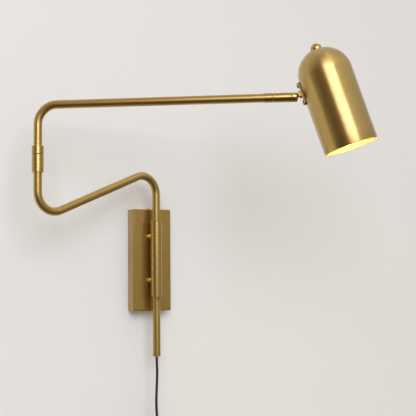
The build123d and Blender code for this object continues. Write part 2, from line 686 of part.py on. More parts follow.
# The holder stands as high in the dome as its shoulder allows. Drops are below the dome's centre.
holder_drop = -sqrt(SHADE_INNER_R**2 - (HOLDER_D / 2 + HOLDER_CLEAR) ** 2)
floor_drop = holder_drop + HOLDER_FLOOR
shell_drop = holder_drop + SHELL_DROP
wiring_drop = (floor_drop + shell_drop - CORE_THICK) / 2
with BuildPart() as holder_stem:
    add(ring(in_shade(floor_drop), STEM_D, STEM_BORE, stem_top + floor_drop))
save(holder_stem, "holder_stem")

with BuildPart() as stem_nut:
    add(hex_nut(in_shade(STEM_NUT_H - stem_nut_top), STEM_NUT_AF, STEM_D + 2 * PRESSED, STEM_NUT_H))
save(stem_nut, "stem_nut")

with BuildPart() as shade_cap_nut:
    with BuildSketch(across_shade):
        with Locations((0, SHADE_R)):
            Circle(CAP_NUT_D / 2)
        Circle(SHADE_R + PRESSED, mode=Mode.SUBTRACT)
        with Locations((-CAP_NUT_D / 2, SHADE_R)):
            Rectangle(CAP_NUT_D, 2 * CAP_NUT_D, mode=Mode.SUBTRACT)
    revolve(axis=shade_axis)
    with BuildSketch(in_shade(0)):
        Circle(STEM_D / 2 + PRESSED)
    extrude(amount=stem_top + HEAD_SINK, mode=Mode.SUBTRACT)
save(shade_cap_nut, "shade_cap_nut")

with BuildPart(in_shade(holder_drop)) as lampholder:
    Cylinder(HOLDER_D / 2, HOLDER_LENGTH, align=HIGH)
    fillet(lampholder.edges().filter_by(GeomType.CIRCLE).sort_by(shade_axis)[-1], HOLDER_WALL)
    with BuildSketch(in_shade(holder_drop + HOLDER_LENGTH)):
        Circle(HOLDER_D / 2 - HOLDER_WALL)
    extrude(amount=HOLDER_LENGTH - HOLDER_FLOOR, mode=Mode.SUBTRACT)
    with BuildSketch(in_shade(holder_drop + HOLDER_LENGTH)):
        Circle(STEM_D / 2 + PRESSED)
    extrude(amount=2 * HOLDER_LENGTH, mode=Mode.SUBTRACT)
    with BuildSketch(Plane(origin=DOME_CENTRE - SHADE_DIR * wiring_drop, z_dir=-NECK_DIR)):
        Circle(HEAD_LEAD_D / 2 + SCREW_CLEAR)
    extrude(amount=HOLDER_D, mode=Mode.SUBTRACT)
save(lampholder, "lampholder")

with BuildPart() as holder_core:
    with BuildSketch(in_shade(shell_drop)):
        Circle(HOLDER_D / 2 - HOLDER_WALL - PRESSED)
        Circle(CONTACT_D / 4, mode=Mode.SUBTRACT)
    extrude(amount=CORE_THICK)
save(holder_core, "holder_core")

with BuildPart() as screw_shell:
    add(ring(in_shade(shell_drop + SHELL_LENGTH), SHELL_D, SHELL_D - 2 * SHELL_WALL, SHELL_LENGTH))
save(screw_shell, "screw_shell")

with BuildPart() as centre_contact:
    with BuildSketch(in_shade(shell_drop + CONTACT_H)):
        Circle(CONTACT_D / 2)
    extrude(amount=CONTACT_H)
save(centre_contact, "centre_contact")

base_drop = shell_drop + CONTACT_H + FACE_GAP + BULB_BASE_LENGTH
with BuildPart() as bulb_base:
    with BuildSketch(in_shade(base_drop)):
        Circle(BULB_BASE_D / 2)
    extrude(amount=BULB_BASE_LENGTH)
    chamfer(bulb_base.edges().filter_by(GeomType.CIRCLE).sort_by(shade_axis)[-1], BULB_BASE_D / 6)
save(bulb_base, "bulb_base")

bulb_r = BULB_D / 2
bulb_centre_drop = base_drop + BULB_LENGTH - bulb_r
glass_neck_r = BULB_BASE_D / 2 - GLASS_STEP
with BuildPart() as bulb_glass:
    with BuildSketch(across_shade):
        with BuildLine():
            Line((0, -base_drop), (glass_neck_r, -base_drop))
            Spline((glass_neck_r, -base_drop), (bulb_r, -bulb_centre_drop), tangents=((0, -1), (0, -1)))
            CenterArc((0, -bulb_centre_drop), bulb_r, 0, -90)
            Line((0, -bulb_centre_drop - bulb_r), (0, -base_drop))
        make_face()
    revolve(axis=shade_axis)
    offset(amount=-GLASS_WALL, openings=bulb_glass.faces().sort_by(shade_axis)[-1])
save(bulb_glass, "bulb_glass")

lead_out = SHADE_STANDOFF + SHADE_R - (HOLDER_D / 2 + SHADE_INNER_R) / 2
lead_rise = NECK_DROP - wiring_drop
lead_end_out = SHADE_STANDOFF + SHADE_R - HOLDER_D / 2 + 2 * HOLDER_WALL
with BuildPart() as head_lead:
    add(tube_along([PIVOT, PIVOT + NECK_DIR * lead_out,
                    PIVOT + NECK_DIR * lead_out + SHADE_DIR * lead_rise,
                    PIVOT + NECK_DIR * lead_end_out + SHADE_DIR * lead_rise], LEAD_BEND_R, HEAD_LEAD_D))
save(head_lead, "head_lead")

# ---------------------------------------------------------------- cord
# Three stretches: out of the tube to the switch, on to the coil, and from the coil to the plug.
HANGING_ROUTE = [
    (0.0, -39.4, -151.0), (0.0, -39.4, -160.0), (0.7, -39.6, -176.0), (-0.3, -39.8, -198.0),
    (-1.4, -39.6, -222.0), (0.0, -39.4, -244.0), (0.0, -39.4, -258.0),
]
FEED_ROUTE = [
    (0.0, -39.4, -318.0), (0.0, -39.4, -328.0), (2.6, -35.8, -338.5), (8.4, -30.8, -348.5),
    (14.6, -28.7, -359.0), (17.8, -29.0, -369.0), (18.0, -29.15, -378.0),
]
TAIL_ROUTE = [
    (0.0, -45.55, -351.8), (9.0, -45.7, -351.6), (19.0, -45.9, -352.8), (29.0, -45.9, -357.8),
    (35.6, -45.6, -366.5), (38.0, -45.3, -377.0), (38.0, -45.3, -390.0),
]
SWITCH_TOP = Vector(*HANGING_ROUTE[-1])
COIL_CENTRE = Vector(*FEED_ROUTE[-1]) - Vector(COIL_INNER_R, 0, 0)
COIL_CENTRE -= Vector(0, (COIL_ROWS + 1) * COIL_PITCH / 2, 0)


def cord_tube(name, points):
    """A length of cord: each bend is as large as its two runs allow."""
    spots = [Vector(*p) for p in points]
    runs = [b - a for a, b in zip(spots, spots[1:])]
    radii = []
    for before, after in zip(runs, runs[1:]):
        half_turn = radians(before.get_angle(after)) / 2
        radii.append(0.45 * min(before.length, after.length) / tan(half_turn))
    print(name, "bend radii", [round(r, 1) for r in radii])
    with BuildPart() as made:
        with BuildLine():
            route = FilletPolyline(*spots, radius=radii)
        with BuildSketch(Plane(origin=route @ 0, z_dir=route % 0)):
            Circle(CORD_D / 2)
        sweep(path=route)
    section = pi * CORD_D**2 / 4
    share = made.part.volume / section / route.length
    print(name, "length", round(route.length, 1), "volume over section times length", round(share, 4))
    return made.part


with BuildPart() as cord_hanging:
    add(cord_tube("cord_hanging", HANGING_ROUTE))
save(cord_hanging, "cord_hanging")

with BuildPart() as cord_feed:
    add(cord_tube("cord_feed", FEED_ROUTE))
save(cord_feed, "cord_feed")

with BuildPart() as cord_tail:
    add(cord_tube("cord_tail", TAIL_ROUTE))
save(cord_tail, "cord_tail")

# The wound cord: three layers of four turns, and one more turn behind the innermost layer.
coil_face = Plane(origin=COIL_CENTRE, x_dir=(1, 0, 0), z_dir=(0, 0, 1))
coil_in = COIL_INNER_R - CORD_D / 2
coil_out = COIL_INNER_R + (COIL_LAYERS - 1) * COIL_PITCH + CORD_D / 2
first_layer_out = COIL_INNER_R + CORD_D / 2
half_width = (COIL_ROWS - 1) * COIL_PITCH / 2 + CORD_D / 2
with BuildPart() as cord_coil:
    with BuildSketch(coil_face):
        with BuildLine():
            Polyline(
                (coil_in, -half_width), (coil_out, -half_width), (coil_out, half_width),
                (first_layer_out, half_width), (first_layer_out, half_width + COIL_PITCH),
                (coil_in, half_width + COIL_PITCH), close=True,
            )
        make_face()
    revolve(axis=Axis(COIL_CENTRE, (0, 1, 0)))
save(cord_coil, "cord_coil")

with BuildPart() as cord_tie:
    with BuildSketch(coil_face):
        with Locations((-(coil_in + coil_out) / 2, COIL_PITCH / 2)):
            Rectangle(coil_out - coil_in + 2 * (TIE_SLACK + TIE_THICK),
                      2 * half_width + COIL_PITCH + 2 * (TIE_SLACK + TIE_THICK))
            Rectangle(coil_out - coil_in + 2 * TIE_SLACK, 2 * half_width + COIL_PITCH + 2 * TIE_SLACK,
                      mode=Mode.SUBTRACT)
    extrude(amount=TIE_WIDTH / 2, both=True)
save(cord_tie, "cord_tie")

# ---------------------------------------------------------------- in-line switch
SWITCH_CENTRE = SWITCH_TOP - UP * SWITCH_LENGTH / 2
switch_mid = Plane(origin=SWITCH_CENTRE, x_dir=(1, 0, 0), z_dir=(0, -1, 0))
half_depth = SWITCH_DEPTH / 2
screw_spots = [(SWITCH_SCREW_ACROSS, SWITCH_SCREW_ALONG), (-SWITCH_SCREW_ACROSS, -SWITCH_SCREW_ALONG)]
window_length = 2 * (ROCKER_R + ROCKER_GAP)
window_width = ROCKER_WIDTH + 2 * ROCKER_GAP
rocker_plane = Plane(origin=switch_mid.origin + Vector(0, -ROCKER_PIVOT_OUT, 0),
                     x_dir=(0, 0, 1), z_dir=(1, 0, 0))


def switch_shell(side, screw_d):
    """Half of the switch's case. side is 1 for the room side and -1 for the wall side."""
    with BuildPart() as made:
        with BuildSketch(switch_mid):
            RectangleRounded(SWITCH_WIDTH, SWITCH_LENGTH, SWITCH_CORNER_R)
        extrude(amount=side * half_depth)
        fillet(made.faces().sort_by(Axis.Y)[0 if side > 0 else -1].edges(), SWITCH_EDGE_R)
        with BuildSketch(switch_mid):
            RectangleRounded(SWITCH_WIDTH - 2 * SWITCH_WALL, SWITCH_LENGTH - 2 * SWITCH_WALL,
                             SWITCH_CORNER_R - SWITCH_WALL)
        extrude(amount=side * (half_depth - SWITCH_WALL), mode=Mode.SUBTRACT)
        with BuildSketch(switch_mid):
            with Locations(*screw_spots):
                Circle(SWITCH_BOSS_D / 2)
        extrude(amount=side * (half_depth - SWITCH_WALL / 2))
        with BuildSketch(switch_mid):
            with Locations(*screw_spots):
                Circle(screw_d / 2)
        extrude(amount=side * SWITCH_DEPTH if side < 0 else half_depth - SWITCH_WALL, mode=Mode.SUBTRACT)
    return made.part


with BuildPart() as switch_case_front:
    add(switch_shell(1, SWITCH_SCREW_D + 2 * PRESSED))
    with BuildSketch(switch_mid.offset(half_depth - SWITCH_WALL)):
        for side in (1, -1):
            with Locations((side * (window_width + LUG_THICK) / 2, 0)):
                Rectangle(LUG_THICK, LUG_WIDTH)
    extrude(amount=-(half_depth - SWITCH_WALL - ROCKER_PIVOT_OUT + TRUNNION_D))
    with BuildSketch(switch_mid):
        Rectangle(window_width, window_length)
    extrude(amount=SWITCH_DEPTH, mode=Mode.SUBTRACT)
    with BuildSketch(rocker_plane):
        Circle(TRUNNION_D / 2 + RUNNING)
    extrude(amount=window_width / 2 + LUG_THICK + RUNNING, both=True, mode=Mode.SUBTRACT)
save(switch_case_front, "switch_case_front")

with BuildPart() as switch_case_back:
    add(switch_shell(-1, SWITCH_SCREW_D + 2 * SCREW_CLEAR))
save(switch_case_back, "switch_case_back")

with BuildPart() as switch_screws:
    for across_x, along_z in screw_spots:
        seat = Plane(origin=SWITCH_CENTRE + Vector(across_x, half_depth, along_z), z_dir=(0, -1, 0))
        add(headed_screw(seat, SWITCH_SCREW_D, SWITCH_DEPTH - SWITCH_WALL - SCREW_END,
                         SWITCH_HEAD_D, SWITCH_HEAD_H))
save(switch_screws, "switch_screws")

with BuildPart() as switch_terminals:
    for side in (1, -1):
        with BuildSketch(switch_mid):
            with Locations((-side * SWITCH_SCREW_ACROSS, side * TERMINAL_ALONG)):
                Rectangle(TERMINAL_WIDTH, TERMINAL_LENGTH)
        extrude(amount=TERMINAL_DEPTH / 2, both=True)
save(switch_terminals, "switch_terminals")

# The rocker is drawn from the side, pressed down at its lower end.
tilted_up = UP.rotate(Axis((0, 0, 0), rocker_plane.z_dir), ROCKER_THROW)
pressed_plane = Plane(origin=rocker_plane.origin, x_dir=tilted_up, z_dir=rocker_plane.z_dir)
with BuildPart() as switch_rocker:
    with BuildSketch(pressed_plane):
        Circle(ROCKER_R)
        with BuildLine():
            crest = ROCKER_CREST - ROCKER_PIVOT_OUT
            rise = ROCKER_R * tan(radians(ROCKER_THROW))
            floor = ROCKER_FLOOR - ROCKER_PIVOT_OUT
            Polyline((-ROCKER_R, floor), (ROCKER_R, floor), (ROCKER_R, crest + rise), (0, crest),
                     (-ROCKER_R, crest + rise), close=True)
        make_face(mode=Mode.INTERSECT)
    extrude(amount=ROCKER_WIDTH / 2, both=True)
    with BuildSketch(rocker_plane):
        Circle(TRUNNION_D / 2)
    extrude(amount=ROCKER_WIDTH / 2 + LUG_THICK, both=True)
save(switch_rocker, "switch_rocker")

# ---------------------------------------------------------------- plug
PLUG_TOP = Vector(*TAIL_ROUTE[-1])
plug_neck_plane = Plane(origin=PLUG_TOP, x_dir=(1, 0, 0), z_dir=(0, 0, -1))
with BuildPart() as plug_body:
    with BuildSketch(plug_neck_plane.offset(PLUG_NECK_LENGTH)):
        RectangleRounded(PLUG_BODY_WIDTH, PLUG_BODY_DEPTH, PLUG_CORNER_R)
    extrude(amount=PLUG_BODY_LENGTH)
    fillet(plug_body.faces().sort_by(Axis.Z)[-1].edges(), PLUG_EDGE_R)
    with BuildSketch(plug_neck_plane):
        Circle(CORD_D / 2 + PLUG_NECK_WALL)
    with BuildSketch(plug_neck_plane.offset(PLUG_NECK_LENGTH)):
        Circle(PLUG_NECK_D / 2)
    loft()
    with BuildSketch(plug_neck_plane.offset(PLUG_NECK_LENGTH + PLUG_BODY_LENGTH)):
        with Locations((-PIN_SPACING / 2, 0), (PIN_SPACING / 2, 0)):
            Rectangle(PIN_THICK + 2 * PRESSED, PIN_WIDTH + 2 * PRESSED)
    extrude(amount=-PIN_ROOT, mode=Mode.SUBTRACT)
save(plug_body, "plug_body")

with BuildPart() as plug_pins:
    for side in (1, -1):
        with BuildSketch(plug_neck_plane.offset(PLUG_NECK_LENGTH + PLUG_BODY_LENGTH - PIN_ROOT)):
            with Locations((side * PIN_SPACING / 2, 0)):
                Rectangle(PIN_THICK, PIN_WIDTH)
        extrude(amount=PIN_ROOT + PIN_LENGTH)
    chamfer(plug_pins.faces().sort_by(Axis.Z)[0:2].edges().filter_by(Axis.Y), EDGE_BREAK)
save(plug_pins, "plug_pins")
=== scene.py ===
"""The looks of a brass swing arm wall sconce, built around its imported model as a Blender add-on.

Metres, +Z up. The wall is the plane Y = 0 and the room is on the -Y side.
"""

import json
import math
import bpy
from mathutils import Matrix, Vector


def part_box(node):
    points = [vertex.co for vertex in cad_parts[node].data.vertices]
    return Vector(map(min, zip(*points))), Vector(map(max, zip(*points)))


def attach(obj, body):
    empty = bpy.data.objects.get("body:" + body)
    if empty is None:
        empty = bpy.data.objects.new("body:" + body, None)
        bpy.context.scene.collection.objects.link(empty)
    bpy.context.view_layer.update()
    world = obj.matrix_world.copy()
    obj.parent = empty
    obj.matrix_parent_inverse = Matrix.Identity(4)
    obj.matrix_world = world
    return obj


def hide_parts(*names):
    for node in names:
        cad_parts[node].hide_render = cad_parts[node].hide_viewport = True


bl_info = {
    "name": "Swing Arm Wall Sconce",
    "version": (1, 0, 0),
    "blender": (4, 5, 0),
    "location": "View3D > Sidebar > Sconce",
    "description": "Dresses a swing arm wall sconce in brass and adds its cord, switch, plug and glowing bulb",
    "category": "Add Mesh",
}

import bmesh
import bpy
from bpy.props import FloatProperty, FloatVectorProperty, IntProperty, PointerProperty
from mathutils import Matrix, Vector

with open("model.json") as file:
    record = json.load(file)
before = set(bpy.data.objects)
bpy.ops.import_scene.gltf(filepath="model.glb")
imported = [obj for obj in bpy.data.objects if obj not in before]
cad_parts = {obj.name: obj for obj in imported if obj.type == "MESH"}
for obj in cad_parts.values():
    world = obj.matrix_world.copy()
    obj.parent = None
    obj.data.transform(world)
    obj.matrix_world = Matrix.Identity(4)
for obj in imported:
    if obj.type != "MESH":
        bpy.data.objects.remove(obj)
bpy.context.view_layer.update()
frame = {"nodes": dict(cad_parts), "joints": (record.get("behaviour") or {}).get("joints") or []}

MM = 0.001
UP = Vector((0, 0, 1))
OUT_OF_WALL = Vector((0, -1, 0))
ORIGIN = Vector((0, 0, 0))

# ---------------------------------------------------------------- places taken from the frame
JOINTS = {joint["name"]: joint for joint in frame["joints"]}
SHOULDER = Vector(JOINTS["lower_arm_swing"]["pos_m"])
ELBOW = Vector(JOINTS["elbow_swing"]["pos_m"])
PIVOT = Vector(JOINTS["head_tilt"]["pos_m"])
ARM_DIRECTION = Vector(JOINTS["head_roll"]["axis"])
TILT_AXIS = Vector(JOINTS["head_tilt"]["axis"])
REST_TILT = math.radians(18.5)
HEAD_TURN = Matrix.Rotation(REST_TILT, 3, TILT_AXIS)
NECK_DIRECTION = HEAD_TURN @ ARM_DIRECTION
SHADE_UP = HEAD_TURN @ UP
DOME_OUT = 51.7 * MM
DOME_RISE = 14.2 * MM
DOME_CENTRE = PIVOT + NECK_DIRECTION * DOME_OUT + SHADE_UP * DOME_RISE


def middle(node):
    """The centre of a node's box."""
    low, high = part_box(node)
    return (low + high) / 2


# ---------------------------------------------------------------- sizes and finishes a user may change
def length(name, description, millimetres):
    """A size property, shown in scene units."""
    return FloatProperty(name=name, description=description, default=millimetres * MM, unit="LENGTH",
                         precision=4)


def colour(name, description, value):
    """A linear RGB colour property."""
    return FloatVectorProperty(name=name, description=description, default=value, subtype="COLOR", size=3,
                               min=0.0, max=1.0)


def amount(name, description, value, least=0.0):
    """A property from a least value up."""
    return FloatProperty(name=name, description=description, default=value, min=least)


def share(name, description, value):
    """A property from 0 to 1."""
    return FloatProperty(name=name, description=description, default=value, min=0.0, max=1.0,
                         subtype="FACTOR")


class SconceFinishes(bpy.types.PropertyGroup):
    """Colours and roughness of the sconce's finishes."""

    brass: colour("Brass", "Colour of the satin brass", (0.54, 0.37, 0.108))
    # The darker brass serves twice: as random aged clouds and scratches on the brass, and as painted shade, the
    # whole colour of the knuckle and its lock nut.
    aged_and_shaded_brass: colour("Aged brass", "Colour of the brass where the lacquer has darkened", (0.42, 0.262, 0.068))
    brass_worn: colour("Worn brass", "Colour of the brass along rubbed edges", (0.72, 0.52, 0.18))
    brass_roughness: share("Brass roughness", "Roughness of the satin brass", 0.30)
    # The lining colour is paler than the outside brass: painted light standing in for the bulb's glow on the
    # inside.
    inside: colour("Shade lining", "Colour of the brass inside the shade", (0.90, 0.78, 0.50))
    cord: colour("Cord", "Colour of the cord's sheath", (0.012, 0.013, 0.012))
    plastic: colour("Plastic", "Colour of the switch and the plug", (0.015, 0.015, 0.016))
    glow: colour("Glow", "Colour of the lit bulb", (1.0, 0.86, 0.56))
    glow_strength: amount("Glow strength", "Light given off by the bulb's glass", 32.0)


class SconceSizes(bpy.types.PropertyGroup):
    """Sizes of the pieces that are made here. They match the frame."""

    tube_diameter: length("Tube diameter", "Outside diameter of the arm tubes", 12.0)
    tube_wall: length("Tube wall", "Wall of the arm tubes", 1.2)
    bend_radius: length("Bend radius", "Radius of the bends at the tubes' centre line", 28.0)
    bend_steps: IntProperty(name="Bend steps", description="Straight steps in each bend", default=14, min=3)
    tube_sides: IntProperty(name="Tube sides", description="Sides round each tube", default=48, min=8)
    shade_diameter: length("Shade diameter", "Outside diameter of the shade", 75.0)
    shade_wall: length("Shade wall", "Wall of the shade", 1.2)
    shade_skirt: length("Shade skirt", "Straight length of the shade below its dome", 106.0)
    rim_rounding: length("Rim rounding", "Rounding of the shade's rim", 0.45)
    cord_diameter: length("Cord diameter", "Diameter of the cord's sheath", 4.0)
    coil_pitch: length("Coil pitch", "Distance between neighbouring turns of the coil", 4.1)
    coil_radius: length("Coil radius", "Radius of the innermost turns at their centre line", 18.0)
    tie_thickness: length("Tie thickness", "Thickness of the tie", 1.0)


class SconceStage(bpy.types.PropertyGroup):
    """The wall, the light and the camera."""

    wall: colour("Wall", "Colour of the painted wall", (0.785, 0.762, 0.672))
    floor: colour("Floor", "Colour of the pale floor", (0.74, 0.72, 0.69))
    window_power: amount("Window power", "Power of the window's soft light, in watts", 42.0)
    room_strength: amount("Room light", "Strength of the light from the room", 0.53)
    lens: amount("Lens", "Focal length of the camera, in millimetres", 78.0, 1.0)


# ---------------------------------------------------------------- shader helpers
def feed(tree, socket, value):
    """Sets a socket, or links it to another socket or to a node's first live output."""
    if isinstance(value, bpy.types.Node):
        value = next(output for output in value.outputs if output.enabled)
    if isinstance(value, bpy.types.NodeSocket):
        tree.links.new(value, socket)
    elif socket.type == "RGBA" and len(value) == 3:
        socket.default_value = (*value, 1.0)
    else:
        socket.default_value = value


def add_node(tree, kind, settings=None, **inputs):
    """Adds a node. A kind without Node in it is short for one of the tree's own sort.

    Inputs are given by socket name, with _ for a space, as a value, a socket or a node.
    """
    own = "GeometryNode" if tree.bl_idname == "GeometryNodeTree" else "ShaderNode"
    made = tree.nodes.new(kind if "Node" in kind else own + kind)
    for name, value in (settings or {}).items():
        setattr(made, name, value)
    for name, value in inputs.items():
        feed(tree, made.inputs[name.replace("_", " ")], value)
    return made


def maths(tree, operation, *values, kind="ShaderNodeMath"):
    """A Math or Vector Math node over values, sockets or nodes."""
    made = add_node(tree, kind, {"operation": operation})
    for socket, value in zip(made.inputs, values):
        feed(tree, socket, value)
    return made


def new_material(name):
    """An empty node material. Returns it with its tree."""
    made = bpy.data.materials.new(name)
    made.use_nodes = True
    made.node_tree.nodes.clear()
    return made, made.node_tree


def surface(tree, height, strength, distance, **inputs):
    """A Principled shader with a bump, and the material's output. Returns the shader."""
    bump = add_node(tree, "Bump", Height=height, Strength=strength, Distance=distance)
    shader = add_node(tree, "BsdfPrincipled", Normal=bump, **inputs)
    add_node(tree, "OutputMaterial", Surface=shader)
    return shader


def on_piece(tree, centre, axis, feature):
    """Object coordinates centred on a piece, turned so that Z is its axis and scaled by a feature's size."""
    return add_node(tree, "Mapping", {"vector_type": "TEXTURE"},
                    Vector=add_node(tree, "TexCoord").outputs["Object"], Location=centre,
                    Rotation=axis.to_track_quat("Z", "Y").to_euler(), Scale=feature)


def noise(tree, vector, detail=2.0, roughness=0.5):
    """A noise of one feature per unit."""
    return add_node(tree, "TexNoise", Vector=vector, Scale=1.0, Detail=detail, Roughness=roughness)


def spread(tree, value, low, high, start=0.3, end=0.7):
    """A value from start to end, spread over low to high."""
    return add_node(tree, "MapRange", Value=value, From_Min=start, From_Max=end, To_Min=low, To_Max=high)


def blend_colours(tree, factor, first, second, blend_type="MIX"):
    """A blend of two colours, each a value, a socket or a node."""
    made = add_node(tree, "Mix", {"data_type": "RGBA", "blend_type": blend_type})
    for index, value in ((0, factor), (6, first), (7, second)):
        feed(tree, made.inputs[index], value)
    return made.outputs[2]


def rubbed_edges(tree, reach):
    """1 along the piece's sharp edges and 0 on its faces."""
    bevel = add_node(tree, "Bevel", {"samples": 4}, Radius=reach)
    facing = add_node(tree, "NewGeometry").outputs["Normal"]
    turned = maths(tree, "DOT_PRODUCT", bevel, facing, kind="ShaderNodeVectorMath")
    return spread(tree, turned.outputs["Value"], 1.0, 0.0, 0.80, 0.99)


# ---------------------------------------------------------------- finishes
# The size of one brushed scratch, across two ways and along the third, with Z along the piece's axis.
TURNED = (30 * MM, 30 * MM, 0.22 * MM)
DRAWN = (0.35 * MM, 0.35 * MM, 55 * MM)
PATINA = (22 * MM, 22 * MM, 45 * MM)
SCUFFS = (9 * MM, 9 * MM, 24 * MM)
SCRATCH_DEPTH = 0.03 * MM
LACQUER_ROUGHNESS = 0.22


def brass_tone(tree, finishes, fine, cloud, darkened_share, streaks):
    """The brass's colour, darker in its clouds and its scratches, and darker overall by a given share."""
    tone = blend_colours(tree, spread(tree, cloud, darkened_share, darkened_share + 0.5), finishes.brass, finishes.aged_and_shaded_brass)
    return blend_colours(tree, spread(tree, fine, 0.0, streaks), tone, finishes.aged_and_shaded_brass)


def satin_brass(name, finishes, centre, axis, grain, edge_reach=0.0, roughness=0.0, along_map="",
                lacquer=0.3, darkened_share=0.0):
    """Brushed, lacquered brass, with its scratches round or along an axis through a centre, made darker overall by
    a given share.
    """
    material, tree = new_material(name)
    base = roughness or finishes.brass_roughness
    fine = noise(tree, on_piece(tree, centre, axis, grain), 3.0, 0.62)
    cloud = noise(tree, on_piece(tree, centre, axis, PATINA), 3.0, 0.55)
    tone = brass_tone(tree, finishes, fine, cloud, darkened_share, 0.15)
    if edge_reach:
        tone = blend_colours(tree, rubbed_edges(tree, edge_reach), tone, finishes.brass_worn)
    rough = maths(tree, "ADD", spread(tree, fine, base - 0.05, base + 0.06), spread(tree, cloud, -0.02, 0.05))
    shader = surface(tree, fine, 0.04, SCRATCH_DEPTH, Base_Color=tone, Metallic=1.0, Roughness=rough,
                     Coat_Weight=lacquer, Coat_Roughness=LACQUER_ROUGHNESS)
    if along_map:
        shader.inputs["Anisotropic"].default_value = 0.75
        feed(tree, shader.inputs["Tangent"],
             add_node(tree, "Tangent", {"direction_type": "UV_MAP", "uv_map": along_map}))
    return material


def tube_brass(name, finishes):
    """Satin brass drawn along a bent tube, read from the tube's own attribute."""
    material, tree = new_material(name)
    place = add_node(tree, "Attribute", {"attribute_name": "along_tube"}).outputs["Vector"]
    fine = noise(tree, maths(tree, "DIVIDE", place, DRAWN, kind="ShaderNodeVectorMath"), 3.0, 0.6)
    cloud = noise(tree, maths(tree, "DIVIDE", place, PATINA, kind="ShaderNodeVectorMath"), 3.0, 0.55)
    surface(tree, fine, 0.04, SCRATCH_DEPTH, Base_Color=brass_tone(tree, finishes, fine, cloud, 0.0, 0.14),
            Metallic=1.0, Coat_Weight=0.15, Coat_Roughness=LACQUER_ROUGHNESS,
            Roughness=spread(tree, fine, finishes.brass_roughness + 0.02, finishes.brass_roughness + 0.10))
    return material


def plain_metal(name, tone, dark, roughness, centre, axis, grain):
    """A plated metal with fine marks along or round an axis."""
    material, tree = new_material(name)
    fine = noise(tree, on_piece(tree, centre, axis, grain), 3.0, 0.6)
    surface(tree, fine, 0.10, SCRATCH_DEPTH, Metallic=1.0,
            Base_Color=blend_colours(tree, spread(tree, fine, 0.0, 0.6), tone, dark),
            Roughness=spread(tree, fine, roughness - 0.05, roughness + 0.08))
    return material


def zinc_steel(name):
    """Zinc-plated steel with a faint mottled spangle."""
    material, tree = new_material(name)
    spangle = noise(tree, on_piece(tree, ORIGIN, UP, (4 * MM,) * 3), 4.0, 0.6)
    surface(tree, spangle, 0.08, 0.05 * MM, Metallic=1.0, Roughness=spread(tree, spangle, 0.28, 0.42),
            Base_Color=blend_colours(tree, spread(tree, spangle, 0.0, 1.0), (0.50, 0.51, 0.50),
                                     (0.66, 0.66, 0.63)))
    return material


def moulded(name, tone, roughness, grain_size, gloss=0.5):
    """Moulded plastic or rubber with a fine spark-eroded grain and a few paler scuffs."""
    material, tree = new_material(name)
    grain = noise(tree, on_piece(tree, ORIGIN, UP, (grain_size,) * 3))
    scuffs = noise(tree, on_piece(tree, ORIGIN, UP, SCUFFS), 4.0, 0.6)
    pale = tuple(min(1.0, channel * 1.7 + 0.006) for channel in tone)
    surface(tree, grain, 0.25, 0.06 * MM, Specular_IOR_Level=gloss,
            Base_Color=blend_colours(tree, spread(tree, scuffs, 0.0, 0.6, 0.5, 0.75), tone, pale),
            Roughness=spread(tree, scuffs, roughness - 0.05, roughness + 0.10))
    return material


def shade_lining(name, finishes):
    """The spun inside of the shade, in a brass painted paler than the outside to stand in for the bulb's light on
    it.
    """
    material, tree = new_material(name)
    fine = noise(tree, on_piece(tree, DOME_CENTRE, SHADE_UP, TURNED), 3.0, 0.6)
    surface(tree, fine, 0.10, SCRATCH_DEPTH, Metallic=1.0, Roughness=spread(tree, fine, 0.38, 0.5),
            Base_Color=blend_colours(tree, spread(tree, fine, 0.0, 0.35), finishes.inside, finishes.brass))
    return material


def lit_glass(name, finishes):
    """Frosted bulb glass, brighter at its round end than at its neck."""
    material, tree = new_material(name)
    centre = middle("bulb_glass")
    height = add_node(tree, "SeparateXYZ", Vector=on_piece(tree, centre, SHADE_UP, (30 * MM,) * 3))
    warm = blend_colours(tree, spread(tree, height.outputs["Z"], 0.0, 1.0, -1.0, 1.2), finishes.glow,
                         (1.0, 0.58, 0.20))
    surface(tree, noise(tree, on_piece(tree, centre, SHADE_UP, (0.4 * MM,) * 3)), 0.15, 0.05 * MM,
            Base_Color=(0.95, 0.92, 0.85), Roughness=0.35, Emission_Color=warm,
            Emission_Strength=finishes.glow_strength)
    return material


def painted_wall(name, tone):
    """Matt wall paint with a faint roller texture, clear from its back."""
    material, tree = new_material(name)
    stipple = noise(tree, on_piece(tree, ORIGIN, UP, (2.2 * MM,) * 3), 3.0, 0.6)
    bump = add_node(tree, "Bump", Height=stipple, Strength=0.10, Distance=0.15 * MM)
    sides = add_node(tree, "MixShader", Fac=add_node(tree, "NewGeometry").outputs["Backfacing"])
    feed(tree, sides.inputs[1], add_node(tree, "BsdfDiffuse", Color=tone, Normal=bump))
    feed(tree, sides.inputs[2], add_node(tree, "BsdfTransparent"))
    add_node(tree, "OutputMaterial", Surface=sides)
    return material


# ---------------------------------------------------------------- mesh helpers
def put_in_scene(name, data):
    """A new object in the scene's collection."""
    made = bpy.data.objects.new(name, data)
    bpy.context.scene.collection.objects.link(made)
    return made


def from_points(name, points, edges=()):
    """An object of bare points, for a node tree."""
    data = bpy.data.meshes.new(name)
    data.from_pydata(points, edges, [])
    return put_in_scene(name, data)


def smooth(data, sharp_from):
    """Makes a mesh smooth, except at edges sharper than an angle in degrees."""
    data.shade_smooth()
    data.set_sharp_from_angle(angle=math.radians(sharp_from))


def from_bmesh(name, form, sharp_from=32):
    """Turns a bmesh into an object."""
    data = bpy.data.meshes.new(name)
    form.to_mesh(data)
    form.free()
    smooth(data, sharp_from)
    return put_in_scene(name, data)


def make_plain(piece, sharp_from=32):
    """Replaces a piece's mesh with what its modifiers make of it, and removes them."""
    made = bpy.data.meshes.new_from_object(piece.evaluated_get(bpy.context.evaluated_depsgraph_get()))
    piece.modifiers.clear()
    piece.data = made
    smooth(made, sharp_from)


def bridge(form, first, second):
    """Faces between two closed rings of points."""
    for index in range(len(first)):
        after = (index + 1) % len(first)
        form.faces.new((first[index], first[after], second[after], second[index]))


